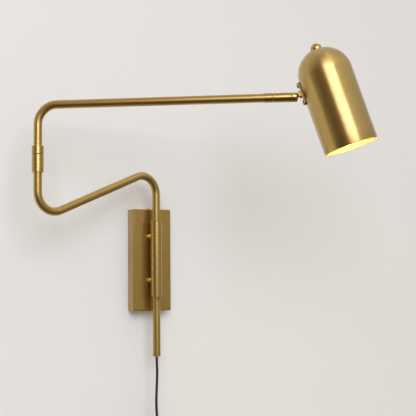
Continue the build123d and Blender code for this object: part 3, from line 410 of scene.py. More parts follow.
def turn_on_axis(profile, centre, axis, sides, along_map):
    """A closed profile of (radius, height) points turned round an axis. The map's U runs along the profile."""
    lathe = bmesh.new()
    to_place = Matrix.Translation(centre) @ axis.to_track_quat("Z", "Y").to_matrix().to_4x4()
    rings = []
    for turn in range(sides):
        angle = math.tau * turn / sides
        rings.append([lathe.verts.new(to_place @ Vector((r * math.cos(angle), r * math.sin(angle), h)))
                      for r, h in profile])
    steps = [(Vector(b) - Vector(a)).length for a, b in zip(profile, profile[1:] + profile[:1])]
    reached = [sum(steps[:index]) for index in range(len(profile) + 1)]
    layer = lathe.loops.layers.uv.new(along_map)
    for turn in range(sides):
        first, second = rings[turn], rings[(turn + 1) % sides]
        for index in range(len(profile)):
            after = (index + 1) % len(profile)
            face = lathe.faces.new((first[index], second[index], second[after], first[after]))
            corners = ((index, turn), (index, turn + 1), (index + 1, turn + 1), (index + 1, turn))
            for loop, (step, side) in zip(face.loops, corners):
                loop[layer].uv = (reached[step] / reached[-1], side / sides)
    bmesh.ops.recalc_face_normals(lathe, faces=lathe.faces)
    return lathe


def finish(material, slot, *nodes):
    """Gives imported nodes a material."""
    for node in nodes:
        piece = frame["nodes"][node]
        for place in piece.material_slots:
            place.link = "OBJECT"
            place.material = material


# ---------------------------------------------------------------- geometry node trees
def new_node_tree(name, **kinds):
    """A geometry node tree with named inputs of given kinds, then a Material. Returns it with its inputs."""
    tree = bpy.data.node_groups.new(name, "GeometryNodeTree")
    for label, kind in {"Geometry": "Geometry", **kinds, "Material": "Material"}.items():
        tree.interface.new_socket(name=label.replace("_", " "), in_out="INPUT", socket_type="NodeSocket" + kind)
    tree.interface.new_socket(name="Geometry", in_out="OUTPUT", socket_type="NodeSocketGeometry")
    return tree, tree.nodes.new("NodeGroupInput").outputs


def end_node_tree(tree, geometry, material):
    """Realizes the instances, sets the material and joins the tree's output. Returns the tree."""
    real = add_node(tree, "RealizeInstances", Geometry=geometry)
    painted = add_node(tree, "SetMaterial", Geometry=real, Material=material)
    add_node(tree, "NodeGroupOutput", Geometry=painted)
    return tree


def add_node_tree(piece, tree, **values):
    """Gives a piece a tree as a modifier, with its inputs' values."""
    modifier = piece.modifiers.new(tree.name, "NODES")
    modifier.node_group = tree
    for socket in tree.interface.items_tree:
        label = socket.name.replace(" ", "_")
        if socket.in_out == "INPUT" and label in values:
            modifier[socket.identifier] = values[label]


def feed_value(tree, node, value):
    """Feeds the live Value socket of a node that has one for each kind of data."""
    feed(tree, next(s for s in node.inputs if s.name == "Value" and s.enabled), value)


def store(tree, geometry, name, kind, value):
    """Stores a named attribute on points."""
    made = add_node(tree, "StoreNamedAttribute", {"data_type": kind, "domain": "POINT"},
                    Geometry=geometry, Name=name)
    feed_value(tree, made, value)
    return made


def read(tree, name, kind):
    """Reads a named attribute."""
    return add_node(tree, "InputNamedAttribute", {"data_type": kind}, Name=name)


def bent_tube_tree():
    """A tube along a polyline with rounded corners. It stores each point's place along and round the tube."""
    tree, given = new_node_tree("bent_tube", Bend_Radius="Float", Bend_Steps="Int", Tube_Radius="Float",
                                Sides="Int")
    route = add_node(tree, "MeshToCurve", Mesh=given["Geometry"])
    rounded = add_node(tree, "FilletCurve", {"mode": "POLY"}, Curve=route, Count=given["Bend Steps"],
                       Radius=given["Bend Radius"])
    measured = store(tree, rounded, "reach", "FLOAT", add_node(tree, "SplineParameter").outputs["Length"])
    section = add_node(tree, "CurvePrimitiveCircle", Resolution=given["Sides"], Radius=given["Tube Radius"])
    outline = store(tree, section, "round", "FLOAT_VECTOR", add_node(tree, "InputPosition"))
    wall = add_node(tree, "CurveToMesh", Curve=measured, Profile_Curve=outline)
    across = add_node(tree, "ShaderNodeSeparateXYZ", Vector=read(tree, "round", "FLOAT_VECTOR")).outputs
    place = add_node(tree, "ShaderNodeCombineXYZ", X=across["X"], Y=across["Y"],
                     Z=read(tree, "reach", "FLOAT"))
    return end_node_tree(tree, store(tree, wall, "along_tube", "FLOAT_VECTOR", place), given["Material"])


def slotted_screw_tree():
    """A slotted, domed screw on each point, its head turned to face the point's facing vector."""
    tree, given = new_node_tree("slotted_screws", Head_Radius="Float", Head_Height="Float",
                                Dome_Radius="Float", Shank_Radius="Float", Shank_Length="Float",
                                Slot_Width="Float", Slot_Depth="Float")

    def raised(geometry, amount, part=1.0):
        """Moves geometry up by a part of an amount."""
        lift = add_node(tree, "ShaderNodeCombineXYZ", Z=maths(tree, "MULTIPLY", amount, part))
        return add_node(tree, "Transform", Geometry=geometry, Translation=lift)

    blank = add_node(tree, "MeshCylinder", Vertices=40, Radius=given["Head Radius"], Depth=given["Head Height"])
    ball = add_node(tree, "MeshUVSphere", Segments=64, Rings=64, Radius=given["Dome Radius"])
    domed = add_node(tree, "MeshBoolean", {"operation": "INTERSECT", "solver": "MANIFOLD"},
                     Mesh_2=raised(blank, given["Head Height"], 0.5))
    feed(tree, domed.inputs["Mesh 2"],
         raised(ball, maths(tree, "SUBTRACT", given["Head Height"], given["Dome Radius"])))
    slot_size = add_node(tree, "ShaderNodeCombineXYZ", X=maths(tree, "MULTIPLY", given["Head Radius"], 3.0),
                         Y=given["Slot Width"], Z=given["Slot Depth"])
    cutter = add_node(tree, "MeshCube", Size=slot_size)
    head = add_node(tree, "MeshBoolean", {"operation": "DIFFERENCE", "solver": "MANIFOLD"},
                    Mesh_1=domed, Mesh_2=raised(cutter, given["Head Height"]))
    shank = add_node(tree, "MeshCylinder", Vertices=24, Radius=given["Shank Radius"],
                     Depth=given["Shank Length"])
    screw = add_node(tree, "JoinGeometry", Geometry=raised(shank, given["Shank Length"], -0.5))
    feed(tree, screw.inputs["Geometry"], head)
    aimed = add_node(tree, "FunctionNodeAlignRotationToVector", {"axis": "Z"},
                     Vector=read(tree, "facing", "FLOAT_VECTOR"))
    placed = add_node(tree, "InstanceOnPoints", Points=given["Geometry"], Instance=screw, Rotation=aimed)
    return end_node_tree(tree, placed, given["Material"])


def rib_row_tree():
    """A row of round ribs down a tapering neck, from the first point."""
    tree, given = new_node_tree("rib_row", Count="Int", Pitch="Float", First_Radius="Float",
                                Last_Radius="Float", Rib_Radius="Float")
    row = add_node(tree, "MeshLine", {"mode": "OFFSET"}, Count=given["Count"],
                   Offset=add_node(tree, "ShaderNodeCombineXYZ", Z=given["Pitch"]))
    radius = add_node(tree, "ShaderNodeMapRange", Value=add_node(tree, "InputIndex"),
                      From_Min=0.0, From_Max=maths(tree, "SUBTRACT", given["Count"], 1.0),
                      To_Min=given["First Radius"], To_Max=given["Last Radius"])
    hoops = add_node(tree, "InstanceOnPoints", Points=row,
                     Instance=add_node(tree, "CurvePrimitiveCircle", Resolution=40, Radius=1.0),
                     Scale=add_node(tree, "ShaderNodeCombineXYZ", X=radius, Y=radius, Z=radius))
    section = add_node(tree, "CurvePrimitiveCircle", Resolution=10, Radius=given["Rib Radius"])
    ribs = add_node(tree, "CurveToMesh", Profile_Curve=section,
                    Curve=add_node(tree, "RealizeInstances", Geometry=hoops))
    start = add_node(tree, "SampleIndex", {"data_type": "FLOAT_VECTOR"}, Geometry=given["Geometry"], Index=0)
    feed_value(tree, start, add_node(tree, "InputPosition"))
    moved = add_node(tree, "Transform", Geometry=ribs, Translation=start)
    return end_node_tree(tree, moved, given["Material"])


# ---------------------------------------------------------------- the stage
# The room's colour by direction round the vertical, in degrees from +X, and by height. Its dim side is warm.
GREY = (1.0, 1.0, 1.0)
WARM = (1.2, 0.86, 0.62)
ROOM_AROUND = ((-180, 0.8, GREY), (-172, 0.75, GREY), (-168, 0.22, WARM), (-165, 0.5, WARM), (-162, 0.22, WARM),
               (-158, 0.5, WARM), (-150, 0.44, WARM), (-124, 0.40, WARM), (-112, 1.0, GREY), (-90, 1.6, GREY),
               (-72, 1.3, GREY), (-40, 1.0, GREY), (0, 0.85, GREY), (180, 0.8, GREY))
ROOM_BY_HEIGHT = ((-1.0, (0.19, 0.14, 0.10)), (-0.3, (0.38, 0.32, 0.26)), (0.0, (0.8, 0.78, 0.75)),
                  (0.3, (1.0, 1.0, 1.0)), (0.6, (1.7, 1.7, 1.66)), (1.0, (1.5, 1.5, 1.48)))
BRIGHTEST = 1.6
CAMERA_PLACE = Vector((-0.5584, -1.3547, 0.0069))
CAMERA_YAW = math.radians(26.3)
CAMERA_PITCH = math.radians(3.0)
CAMERA_ROLL = math.radians(-0.4)
WINDOW_PLACE = Vector((-0.65, -2.5, 1.1))
WINDOW_AIM = Vector((0.0, -0.2, 0.05))
WINDOW_SIZE = (1.8, 1.4)
WINDOW_COLOUR = (0.91, 0.97, 1.22)
FLOOR_Z = -1.3
WALL_TOP = 2.0
HALF_WALL = 2.5
ROOM_DEPTH = 3.0
WALL_GAP = 0.5 * MM
WALL_LIP = 2 * MM


def colour_ramp(tree, value, stops):
    """A ramp of (place from 0 to 1, colour) stops."""
    made = add_node(tree, "ValToRGB", Fac=value)
    steps = made.color_ramp.elements
    while len(steps) > 1:
        steps.remove(steps[-1])
    for index, (place, tone) in enumerate(stops):
        step = steps[0] if index == 0 else steps.new(place)
        step.position = place
        step.color = (*tone, 1.0)
    return made


def room_light(strength):
    """The world: a bright side, a dim side and a dark floor, by direction."""
    world = bpy.data.worlds.new("room")
    world.use_nodes = True
    tree = world.node_tree
    tree.nodes.clear()
    split = add_node(tree, "SeparateXYZ", Vector=add_node(tree, "TexCoord").outputs["Generated"]).outputs
    turn = maths(tree, "ARCTAN2", split["Y"], split["X"])
    across = colour_ramp(tree, spread(tree, turn, 0.0, 1.0, -math.pi, math.pi),
                         [((degrees + 180) / 360, tuple(level * part / BRIGHTEST for part in tint))
                          for degrees, level, tint in ROOM_AROUND])
    upward = colour_ramp(tree, spread(tree, split["Z"], 0.0, 1.0, -1.0, 1.0),
                         [((z + 1) / 2, tone) for z, tone in ROOM_BY_HEIGHT])
    glow = add_node(tree, "Background", Strength=strength * BRIGHTEST,
                    Color=blend_colours(tree, 1.0, across, upward, "MULTIPLY"))
    add_node(tree, "OutputWorld", Surface=glow)
    return world


def flat_sheet(name, faces, material):
    """A flat backdrop of four-cornered faces."""
    sheet = bmesh.new()
    for corners in faces:
        sheet.faces.new([sheet.verts.new(corner) for corner in corners])
    made = from_bmesh(name, sheet)
    made.data.materials.append(material)
    return made


def wall_faces():
    """The wall, left open behind the plate so that the plate's inside is lit in views from behind."""
    low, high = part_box("wall_plate")
    across = (-HALF_WALL, low.x + WALL_LIP, high.x - WALL_LIP, HALF_WALL)
    upward = (FLOOR_Z, low.z + WALL_LIP, high.z - WALL_LIP, WALL_TOP)
    return [[(left, WALL_GAP, bottom), (right, WALL_GAP, bottom), (right, WALL_GAP, top), (left, WALL_GAP, top)]
            for i, (left, right) in enumerate(zip(across, across[1:]))
            for j, (bottom, top) in enumerate(zip(upward, upward[1:])) if (i, j) != (1, 1)]


class SCONCE_OT_stage(bpy.types.Operator):
    """Sets the wall, the floor, the light and the camera"""
    bl_idname = "sconce.stage"
    bl_label = "Set the stage"

    def execute(self, context):
        scene, stage = context.scene, context.scene.sconce_stage
        eye = bpy.data.cameras.new("camera")
        eye.sensor_width = 36.0
        eye.lens = stage.lens
        eye.clip_start = 0.01
        camera = put_in_scene("camera", eye)
        ahead = Vector((math.sin(CAMERA_YAW) * math.cos(CAMERA_PITCH),
                        math.cos(CAMERA_YAW) * math.cos(CAMERA_PITCH), math.sin(CAMERA_PITCH)))
        level = Vector((math.cos(CAMERA_YAW), -math.sin(CAMERA_YAW), 0))
        above = level.cross(ahead)
        right = math.cos(CAMERA_ROLL) * level + math.sin(CAMERA_ROLL) * above
        top = math.cos(CAMERA_ROLL) * above - math.sin(CAMERA_ROLL) * level
        camera.matrix_world = (Matrix.Translation(CAMERA_PLACE)
                               @ Matrix((right, top, -ahead)).transposed().to_4x4())
        scene.camera = camera

        lamp = bpy.data.lights.new("window", "AREA")
        lamp.shape = "RECTANGLE"
        lamp.size, lamp.size_y = WINDOW_SIZE
        lamp.energy = stage.window_power
        lamp.color = WINDOW_COLOUR
        window = put_in_scene("window", lamp)
        window.matrix_world = (Matrix.Translation(WINDOW_PLACE)
                               @ (WINDOW_PLACE - WINDOW_AIM).to_track_quat("Z", "Y").to_matrix().to_4x4())
        scene.world = room_light(stage.room_strength)
        scene.view_settings.view_transform = "Standard"

        flat_sheet("wall", wall_faces(), painted_wall("wall_paint", stage.wall))
        corners = [(x, y, FLOOR_Z) for x, y in ((-HALF_WALL, -ROOM_DEPTH), (HALF_WALL, -ROOM_DEPTH),
                                                (HALF_WALL, 0.0), (-HALF_WALL, 0.0))]
        floor = flat_sheet("floor", [corners], painted_wall("floor_paint", stage.floor))
        floor.visible_glossy = False
        return {"FINISHED"}


# ---------------------------------------------------------------- the cord, its switch and its plug
# The cord's route in metres: out of the tube, down to the switch, on to the coil, and to the plug.
TO_SWITCH = ((0, -0.0394, -0.151), (0, -0.0394, -0.160), (0.0007, -0.0396, -0.176), (-0.0003, -0.0398, -0.198),
             (-0.0014, -0.0396, -0.222), (0, -0.0394, -0.244), (0, -0.0394, -0.258))
TO_COIL = ((0, -0.0394, -0.318), (0, -0.0394, -0.328), (0.0026, -0.0358, -0.3385), (0.0084, -0.0308, -0.3485),
           (0.0146, -0.0287, -0.359), (0.0178, -0.029, -0.369))
TO_PLUG = ((0.009, -0.0457, -0.3516), (0.019, -0.0459, -0.3528), (0.029, -0.0459, -0.3578),
           (0.0356, -0.0456, -0.3665), (0.038, -0.0453, -0.377), (0.038, -0.0453, -0.390))
COIL_CENTRE = Vector((0, -0.0394, -0.378))
COIL_LAYERS = ((10.25, 6.15, 2.05, -2.05, -6.15), (-6.15, -2.05, 2.05, 6.15), (6.15, 2.05, -2.05, -6.15))
TURN_POINTS = 24
# The parts of a turn over which the cord steps over to the next place, and out to the next layer.
STEP_BACK_FROM = 240 / 360
STEP_OUT_FROM = 300 / 360
STEP_LASTS = 1 / 6


def eased(share_done):
    """0 to 1 with a soft start and a soft end."""
    share_done = min(1.0, max(0.0, share_done))
    return share_done * share_done * (3 - 2 * share_done)


def coil_points(first_radius, pitch):
    """The coil's turns from the inside out, up to the top of the last, clockwise as seen from the room."""
    rows = [(first_radius + layer * pitch, offset * MM) for layer, offsets in enumerate(COIL_LAYERS)
            for offset in offsets]
    points = []
    for index, (radius, offset) in enumerate(rows):
        next_radius, next_offset = rows[min(index + 1, len(rows) - 1)]
        for step in range(TURN_POINTS if index < len(rows) - 1 else TURN_POINTS * 3 // 4 + 1):
            done = step / TURN_POINTS
            out = radius + (next_radius - radius) * eased((done - STEP_OUT_FROM) / STEP_LASTS)
            back = offset + (next_offset - offset) * eased((done - STEP_BACK_FROM) / STEP_LASTS)
            angle = math.tau * done
            points.append(COIL_CENTRE + Vector((out * math.cos(angle), back, -out * math.sin(angle))))
    return points


class SCONCE_OT_cord(bpy.types.Operator):
    """Hangs the cord from the lower arm, through its switch and its coil, to its plug"""
    bl_idname = "sconce.cord"
    bl_label = "Hang the cord"

    def execute(self, context):
        sizes, finishes = context.scene.sconce_sizes, context.scene.sconce_finishes
        route = ([Vector(p) for p in TO_SWITCH + TO_COIL]
                 + coil_points(sizes.coil_radius, sizes.coil_pitch) + [Vector(p) for p in TO_PLUG])
        line = bpy.data.curves.new("cord", "CURVE")
        line.dimensions = "3D"
        spline = line.splines.new("NURBS")
        spline.points.add(len(route) - 1)
        for knot, place in zip(spline.points, route):
            knot.co = (*place, 1.0)
        spline.order_u = 3
        spline.use_endpoint_u = True
        spline.resolution_u = 4
        line.bevel_depth = sizes.cord_diameter / 2
        line.bevel_resolution = 4
        line.use_fill_caps = True
        line.materials.append(moulded("cord_rubber", finishes.cord, 0.42, 0.5 * MM, 0.45))
        piece = put_in_scene("cord", line)
        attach(piece, "lower_arm")
        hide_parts("cord_hanging", "cord_feed", "cord_coil", "cord_tail")

        low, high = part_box("cord_tie")
        tie = strap_tie("coil_tie", (low + high) / 2, (high - low) / 2, sizes.tie_thickness)
        tie.data.materials.append(moulded("tie_rubber", (0.02, 0.02, 0.02), 0.5, 0.4 * MM))
        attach(tie, "lower_arm")
        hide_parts("cord_tie")

        plug, ribs = plug_pieces(finishes)
        return {"FINISHED"}


def rounded_loop(half_x, half_y, corner, steps=6):
    """Points round a rectangle with rounded corners, anticlockwise from the right."""
    points = []
    for quarter, (side_x, side_y) in enumerate(((1, -1), (1, 1), (-1, 1), (-1, -1))):
        for step in range(steps + 1):
            angle = math.radians(90 * quarter - 90 + 90 * step / steps)
            points.append((side_x * (half_x - corner) + corner * math.cos(angle),
                           side_y * (half_y - corner) + corner * math.sin(angle)))
    return points


def strap_tie(name, centre, half, thickness):
    """A moulded strap round the coil, with soft edges."""
    strap = bmesh.new()
    soft = 0.25 * MM
    outer_corner = 3.4 * MM
    section = ((0.0, soft), (0.0, 2 * half.z - soft), (soft, 2 * half.z), (thickness - soft, 2 * half.z),
               (thickness, 2 * half.z - soft), (thickness, soft), (thickness - soft, 0.0), (soft, 0.0))
    rings = []
    for inset, rise in section:
        loop = rounded_loop(half.x - inset, half.y - inset, outer_corner - inset)
        rings.append([strap.verts.new(centre + Vector((x, y, rise - half.z))) for x, y in loop])
    for first, second in zip(rings, rings[1:] + rings[:1]):
        bridge(strap, first, second)
    bmesh.ops.recalc_face_normals(strap, faces=strap.faces)
    return from_bmesh(name, strap, 50)


def loft(rings):
    """A closed form through rings of equally many points."""
    form = bmesh.new()
    placed = [[form.verts.new(point) for point in ring] for ring in rings]
    for first, second in zip(placed, placed[1:]):
        bridge(form, first, second)
    for ring in (placed[0], placed[-1]):
        hub = form.verts.new(sum((vert.co for vert in ring), Vector()) / len(ring))
        for vert, after in zip(ring, ring[1:] + ring[:1]):
            form.faces.new((vert, after, hub))
    bmesh.ops.recalc_face_normals(form, faces=form.faces)
    return form


# Sections of the plug: distance below its top, half width, half depth and corner radius, in millimetres.
PLUG_SECTIONS = ((0.0, 2.75, 2.75, 2.74), (0.3, 2.8, 2.8, 2.79), (19.4, 3.9, 3.9, 3.89), (20.2, 4.6, 4.2, 3.9),
                 (21.0, 6.6, 4.8, 3.9), (22.4, 9.2, 5.7, 4.0), (24.4, 11.2, 6.5, 4.0), (27.0, 12.2, 6.9, 4.0),
                 (30.0, 12.5, 7.0, 4.0), (34.0, 12.1, 6.75, 4.0), (38.5, 12.1, 6.75, 4.0), (41.5, 12.4, 6.95, 4.0),
                 (42.7, 12.45, 6.95, 4.0), (43.6, 12.0, 6.5, 3.6), (44.0, 11.1, 5.6, 2.8))
RIB_PITCH = 2.4 * MM


def plug_pieces(finishes):
    """The plug's moulded body and the ribs of its strain relief."""
    top = Vector(TO_PLUG[-1])
    rings = [[top + Vector((x, y, -drop * MM))
              for x, y in rounded_loop(half_x * MM, half_y * MM, corner * MM)]
             for drop, half_x, half_y, corner in PLUG_SECTIONS]
    rubber = moulded("plug_rubber", finishes.plastic, 0.48, 0.45 * MM)
    plug = from_bmesh("plug", loft(rings), 45)
    plug.data.materials.append(rubber)
    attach(plug, "lower_arm")
    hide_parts("plug_body")

    ribs = from_points("plug_ribs", [top - RIB_PITCH * UP])
    add_node_tree(ribs, rib_row_tree(), Count=7, Pitch=-RIB_PITCH, First_Radius=3.05 * MM,
                  Last_Radius=3.75 * MM, Rib_Radius=0.5 * MM, Material=rubber)
    make_plain(ribs)
    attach(ribs, "lower_arm")
    return plug, ribs


SWITCH_SCREW_ACROSS = 6.4 * MM
SWITCH_SCREW_UP = 21 * MM


class SCONCE_OT_switch(bpy.types.Operator):
    """Finishes the in-line switch, the plug's pins and the metal inside them"""
    bl_idname = "sconce.switch"
    bl_label = "Finish the switch"

    def execute(self, context):
        finishes = context.scene.sconce_finishes
        finish(moulded("switch_plastic", finishes.plastic, 0.34, 0.8 * MM), "black_plastic",
               "switch_case_front", "switch_case_back")
        finish(moulded("rocker_plastic", finishes.plastic, 0.26, 1.4 * MM), "black_plastic", "switch_rocker")
        finish(plain_metal("nickel", (0.72, 0.70, 0.64), (0.52, 0.50, 0.45), 0.24, middle("plug_pins"), UP,
                           DRAWN), "contact_metal", "plug_pins", "switch_terminals")
        centre = middle("switch_case_back")
        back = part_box("switch_case_back")[1].y
        screws("switch_case_screws", [Vector((centre.x + side * SWITCH_SCREW_ACROSS, back,
                                              centre.z + side * SWITCH_SCREW_UP)) for side in (1, -1)],
               [-OUT_OF_WALL] * 2, "lower_arm", "switch_screws",
               zinc_steel("switch_screw_zinc"), head=(2.4, 1.15, 5.0), shank=(1.25, 12.0), slot=(0.7, 0.9))
        return {"FINISHED"}


# ---------------------------------------------------------------- screws
FEWEST_SCREW_FACES = 60
HEAD_SEAT = 1.2 * MM
BRACKET_OUT = 12.2 * MM
BRACKET_SCREW_RISE = 12.5 * MM


def screws(name, points, facings, body, node, material, head, shank, slot):
    """Slotted screws at points under their heads, in millimetres.

    head is (radius, height, dome radius), shank is (radius, length) and slot is (width, depth).
    """
    piece = from_points(name, points)
    facing = piece.data.attributes.new("facing", "FLOAT_VECTOR", "POINT")
    for value, direction in zip(facing.data, facings):
        value.vector = direction
    add_node_tree(piece, bpy.data.node_groups.get("slotted_screws") or slotted_screw_tree(),
                  Head_Radius=head[0] * MM, Head_Height=head[1] * MM, Dome_Radius=head[2] * MM,
                  Shank_Radius=shank[0] * MM, Shank_Length=shank[1] * MM, Slot_Width=slot[0] * MM,
                  Slot_Depth=2 * slot[1] * MM, Material=material)
    make_plain(piece)
    if len(piece.data.polygons) < FEWEST_SCREW_FACES * len(points):
        raise RuntimeError(f"{name}: the screws weren't made")
    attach(piece, body)
    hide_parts(node)
    return piece


class SCONCE_OT_screws(bpy.types.Operator):
    """Adds the slotted brass screws of the plate, the swivel and the shade bracket"""
    bl_idname = "sconce.screws"
    bl_label = "Add the brass screws"

    def execute(self, context):
        finishes = context.scene.sconce_finishes
        bright = satin_brass("screw_brass", finishes, middle("bracket_screws"), NECK_DIRECTION,
                             (0.5 * MM,) * 3, 0.25 * MM, 0.20)
        low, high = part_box("plate_screws")
        plate_low, plate_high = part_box("wall_plate")
        out = (low.y + high.y) / 2
        screws("plate_end_screws", [Vector((0, out, plate_high.z)), Vector((0, out, plate_low.z))], [UP, -UP],
               "wall_mount", "plate_screws", bright, head=(3.5, 2.15, 4.2), shank=(2.0, 4.6),
               slot=(0.9, 1.1))
        screws("swivel_screws", [PIVOT + side * TILT_AXIS * seat_out() for side in (1, -1)],
               [TILT_AXIS, -TILT_AXIS], "swivel", "pivot_screws", bright,
               head=(2.4, 1.2, 8.0), shank=(1.5, seat_out() / MM - 1.75), slot=(0.7, 0.7))
        face = PIVOT + BRACKET_OUT * NECK_DIRECTION
        screws("shade_bracket_screws", [face + side * BRACKET_SCREW_RISE * SHADE_UP for side in (1, -1)],
               [-NECK_DIRECTION] * 2, "head", "bracket_screws", bright,
               head=(3.75, 2.75, 4.4), shank=(2.0, 7.0), slot=(1.0, 1.3))
        return {"FINISHED"}


def seat_out():
    """How far the seats of the swivel's screws stand from the arm's axis."""
    low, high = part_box("pivot_screws")
    across = (high - low).dot(Vector([abs(part) for part in TILT_AXIS])) / 2
    return across - HEAD_SEAT


# ---------------------------------------------------------------- brass pieces
# Heights of the lower arm's corners, how far it goes into the elbow sleeve, and the upper arm's reach.
ARM_TUBE_TOP = 0.1448
ARM_TUBE_DIP = 0.0577
INTO_SLEEVE = 8 * MM
END_RING_SOCKET = 0.3306


def bent_tube(name, corners, sizes, body, node, material):
    """An arm tube through corner points, with round bends and a real wall."""
    piece = from_points(name, corners, [(index, index + 1) for index in range(len(corners) - 1)])
    add_node_tree(piece, bpy.data.node_groups.get("bent_tube") or bent_tube_tree(),
                  Bend_Radius=sizes.bend_radius, Bend_Steps=sizes.bend_steps,
                  Tube_Radius=sizes.tube_diameter / 2, Sides=sizes.tube_sides, Material=material)
    wall = piece.modifiers.new("wall", "SOLIDIFY")
    wall.thickness = sizes.tube_wall
    wall.offset = -1.0
    wall.use_even_offset = True
    make_plain(piece, 40)
    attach(piece, body)
    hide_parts(node)
    return piece


class SCONCE_OT_arms(bpy.types.Operator):
    """Bends the two arm tubes"""
    bl_idname = "sconce.arms"
    bl_label = "Bend the arm tubes"

    def execute(self, context):
        sizes, finishes = context.scene.sconce_sizes, context.scene.sconce_finishes
        brass = tube_brass("arm_tube_brass", finishes)

        def over(place, z):
            """A point at a height over a place."""
            return Vector((place.x, place.y, z))

        lower_low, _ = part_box("lower_arm_tube")
        sleeve_low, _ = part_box("elbow_sleeve")
        bent_tube("lower_arm", [over(SHOULDER, lower_low.z), over(SHOULDER, ARM_TUBE_TOP),
                                over(ELBOW, ARM_TUBE_DIP), over(ELBOW, sleeve_low.z + INTO_SLEEVE)],
                  sizes, "lower_arm", "lower_arm_tube", brass)
        upper_low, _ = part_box("upper_arm_tube")
        along = over(ELBOW, PIVOT.z)
        bent_tube("upper_arm", [over(ELBOW, upper_low.z), along, along + END_RING_SOCKET * ARM_DIRECTION],
                  sizes, "upper_arm", "upper_arm_tube", brass)
        return {"FINISHED"}


class SCONCE_OT_mount(bpy.types.Operator):
    """Finishes the wall plate, its posts, the barrel and the elbow"""
    bl_idname = "sconce.mount"
    bl_label = "Finish the wall plate and the elbow"

    def execute(self, context):
        finishes = context.scene.sconce_finishes
        # The plate's brass is darker overall: half way or more to the darker brass everywhere.
        finish(satin_brass("plate_brass", finishes, middle("wall_plate"), UP, DRAWN, 0.7 * MM,
                           finishes.brass_roughness - 0.04, lacquer=0.15, darkened_share=0.5), "satin_brass",
               "wall_plate")
        finish(satin_brass("post_brass", finishes, middle("standoff_posts"), OUT_OF_WALL, TURNED, 0.4 * MM),
               "satin_brass", "standoff_posts")
        finish(satin_brass("upright_brass", finishes, SHOULDER, UP, TURNED, 0.4 * MM,
                           finishes.brass_roughness - 0.03), "satin_brass",
               "pivot_barrel", "retaining_collar", "elbow_sleeve", "elbow_ring")
        finish(zinc_steel("bracket_zinc"), "plated_steel", "wall_bracket", "post_screws", "elbow_clip",
               "thrust_collar", "neck_inner_nut", "bracket_nuts", "stem_nut", "holder_stem")
        finish(plain_metal("grub_steel", (0.16, 0.13, 0.09), (0.08, 0.06, 0.04), 0.4,
                           middle("collar_grub_screws"), OUT_OF_WALL, TURNED), "plated_steel",
               "collar_grub_screws")
        finish(moulded("bush_nylon", (0.20, 0.125, 0.045), 0.42, 0.6 * MM), "nylon",
               "barrel_bush_bottom", "barrel_bush_top", "elbow_bush", "friction_washer", "cord_grip")
        finish(moulded("lead_rubber", finishes.cord, 0.5, 0.5 * MM), "cord_black",
               "lower_arm_lead", "upper_arm_lead", "swivel_lead", "head_lead")
        return {"FINISHED"}


class SCONCE_OT_swivel(bpy.types.Operator):
    """Finishes the swivel at the arm's end, and colours the knuckle and the shade's bracket dark as painted shade
    """
    bl_idname = "sconce.swivel"
    bl_label = "Finish the swivel and the bracket"

    def execute(self, context):
        finishes = context.scene.sconce_finishes
        finish(satin_brass("swivel_brass", finishes, middle("swivel_housing"), ARM_DIRECTION, TURNED, 0.35 * MM,
                           finishes.brass_roughness - 0.04), "satin_brass",
               "arm_end_ring", "swivel_stud", "swivel_housing", "swivel_bushing")
        # Painted shade: the knuckle and its lock nut are coloured in the darker brass to stand in for the shade
        # between the arm's end and the shade.
        finish(plain_metal("neck_brass", finishes.aged_and_shaded_brass, (0.2, 0.12, 0.035), 0.34, middle("knuckle"),
                           NECK_DIRECTION, TURNED), "satin_brass", "knuckle", "neck_lock_nut")
        # Painted shade: the bracket's brass is dark brown to stand in for the shade's shadow on it.
        finish(plain_metal("bracket_brass", (0.27, 0.16, 0.046), (0.13, 0.075, 0.02), 0.42,
                           middle("shade_bracket"), SHADE_UP, DRAWN), "satin_brass", "shade_bracket")
        return {"FINISHED"}


# ---------------------------------------------------------------- the shade and what it holds
STEM_HOLE = 5.15 * MM
DOME_STEPS = 22
SHADE_SIDES = 144


def shade_profile(sizes):
    """The shade's section as (radius, height above the dome's centre): up the outside and down the inside."""
    outer = sizes.shade_diameter / 2
    inner = outer - sizes.shade_wall
    soft = sizes.rim_rounding
    rim = -sizes.shade_skirt

    def arc(centre, radius, start, end, steps):
        """Points on an arc in the section."""
        turns = [start + (end - start) * step / steps for step in range(steps + 1)]
        return [(centre[0] + radius * math.cos(turn), centre[1] + radius * math.sin(turn)) for turn in turns]

    quarter = math.pi / 2
    outside = arc((outer - soft, rim + soft), soft, -quarter, 0, 4)
    outside += [(outer, rim * part / 6) for part in range(5, 0, -1)]
    outside += arc((0, 0), outer, 0, math.acos(STEM_HOLE / outer), DOME_STEPS)
    inside = arc((0, 0), inner, math.acos(STEM_HOLE / inner), 0, DOME_STEPS)
    inside += [(inner, rim * part / 6) for part in range(1, 6)]
    inside += arc((inner + soft, rim + soft), soft, math.pi, math.pi + quarter, 4)
    return outside, inside


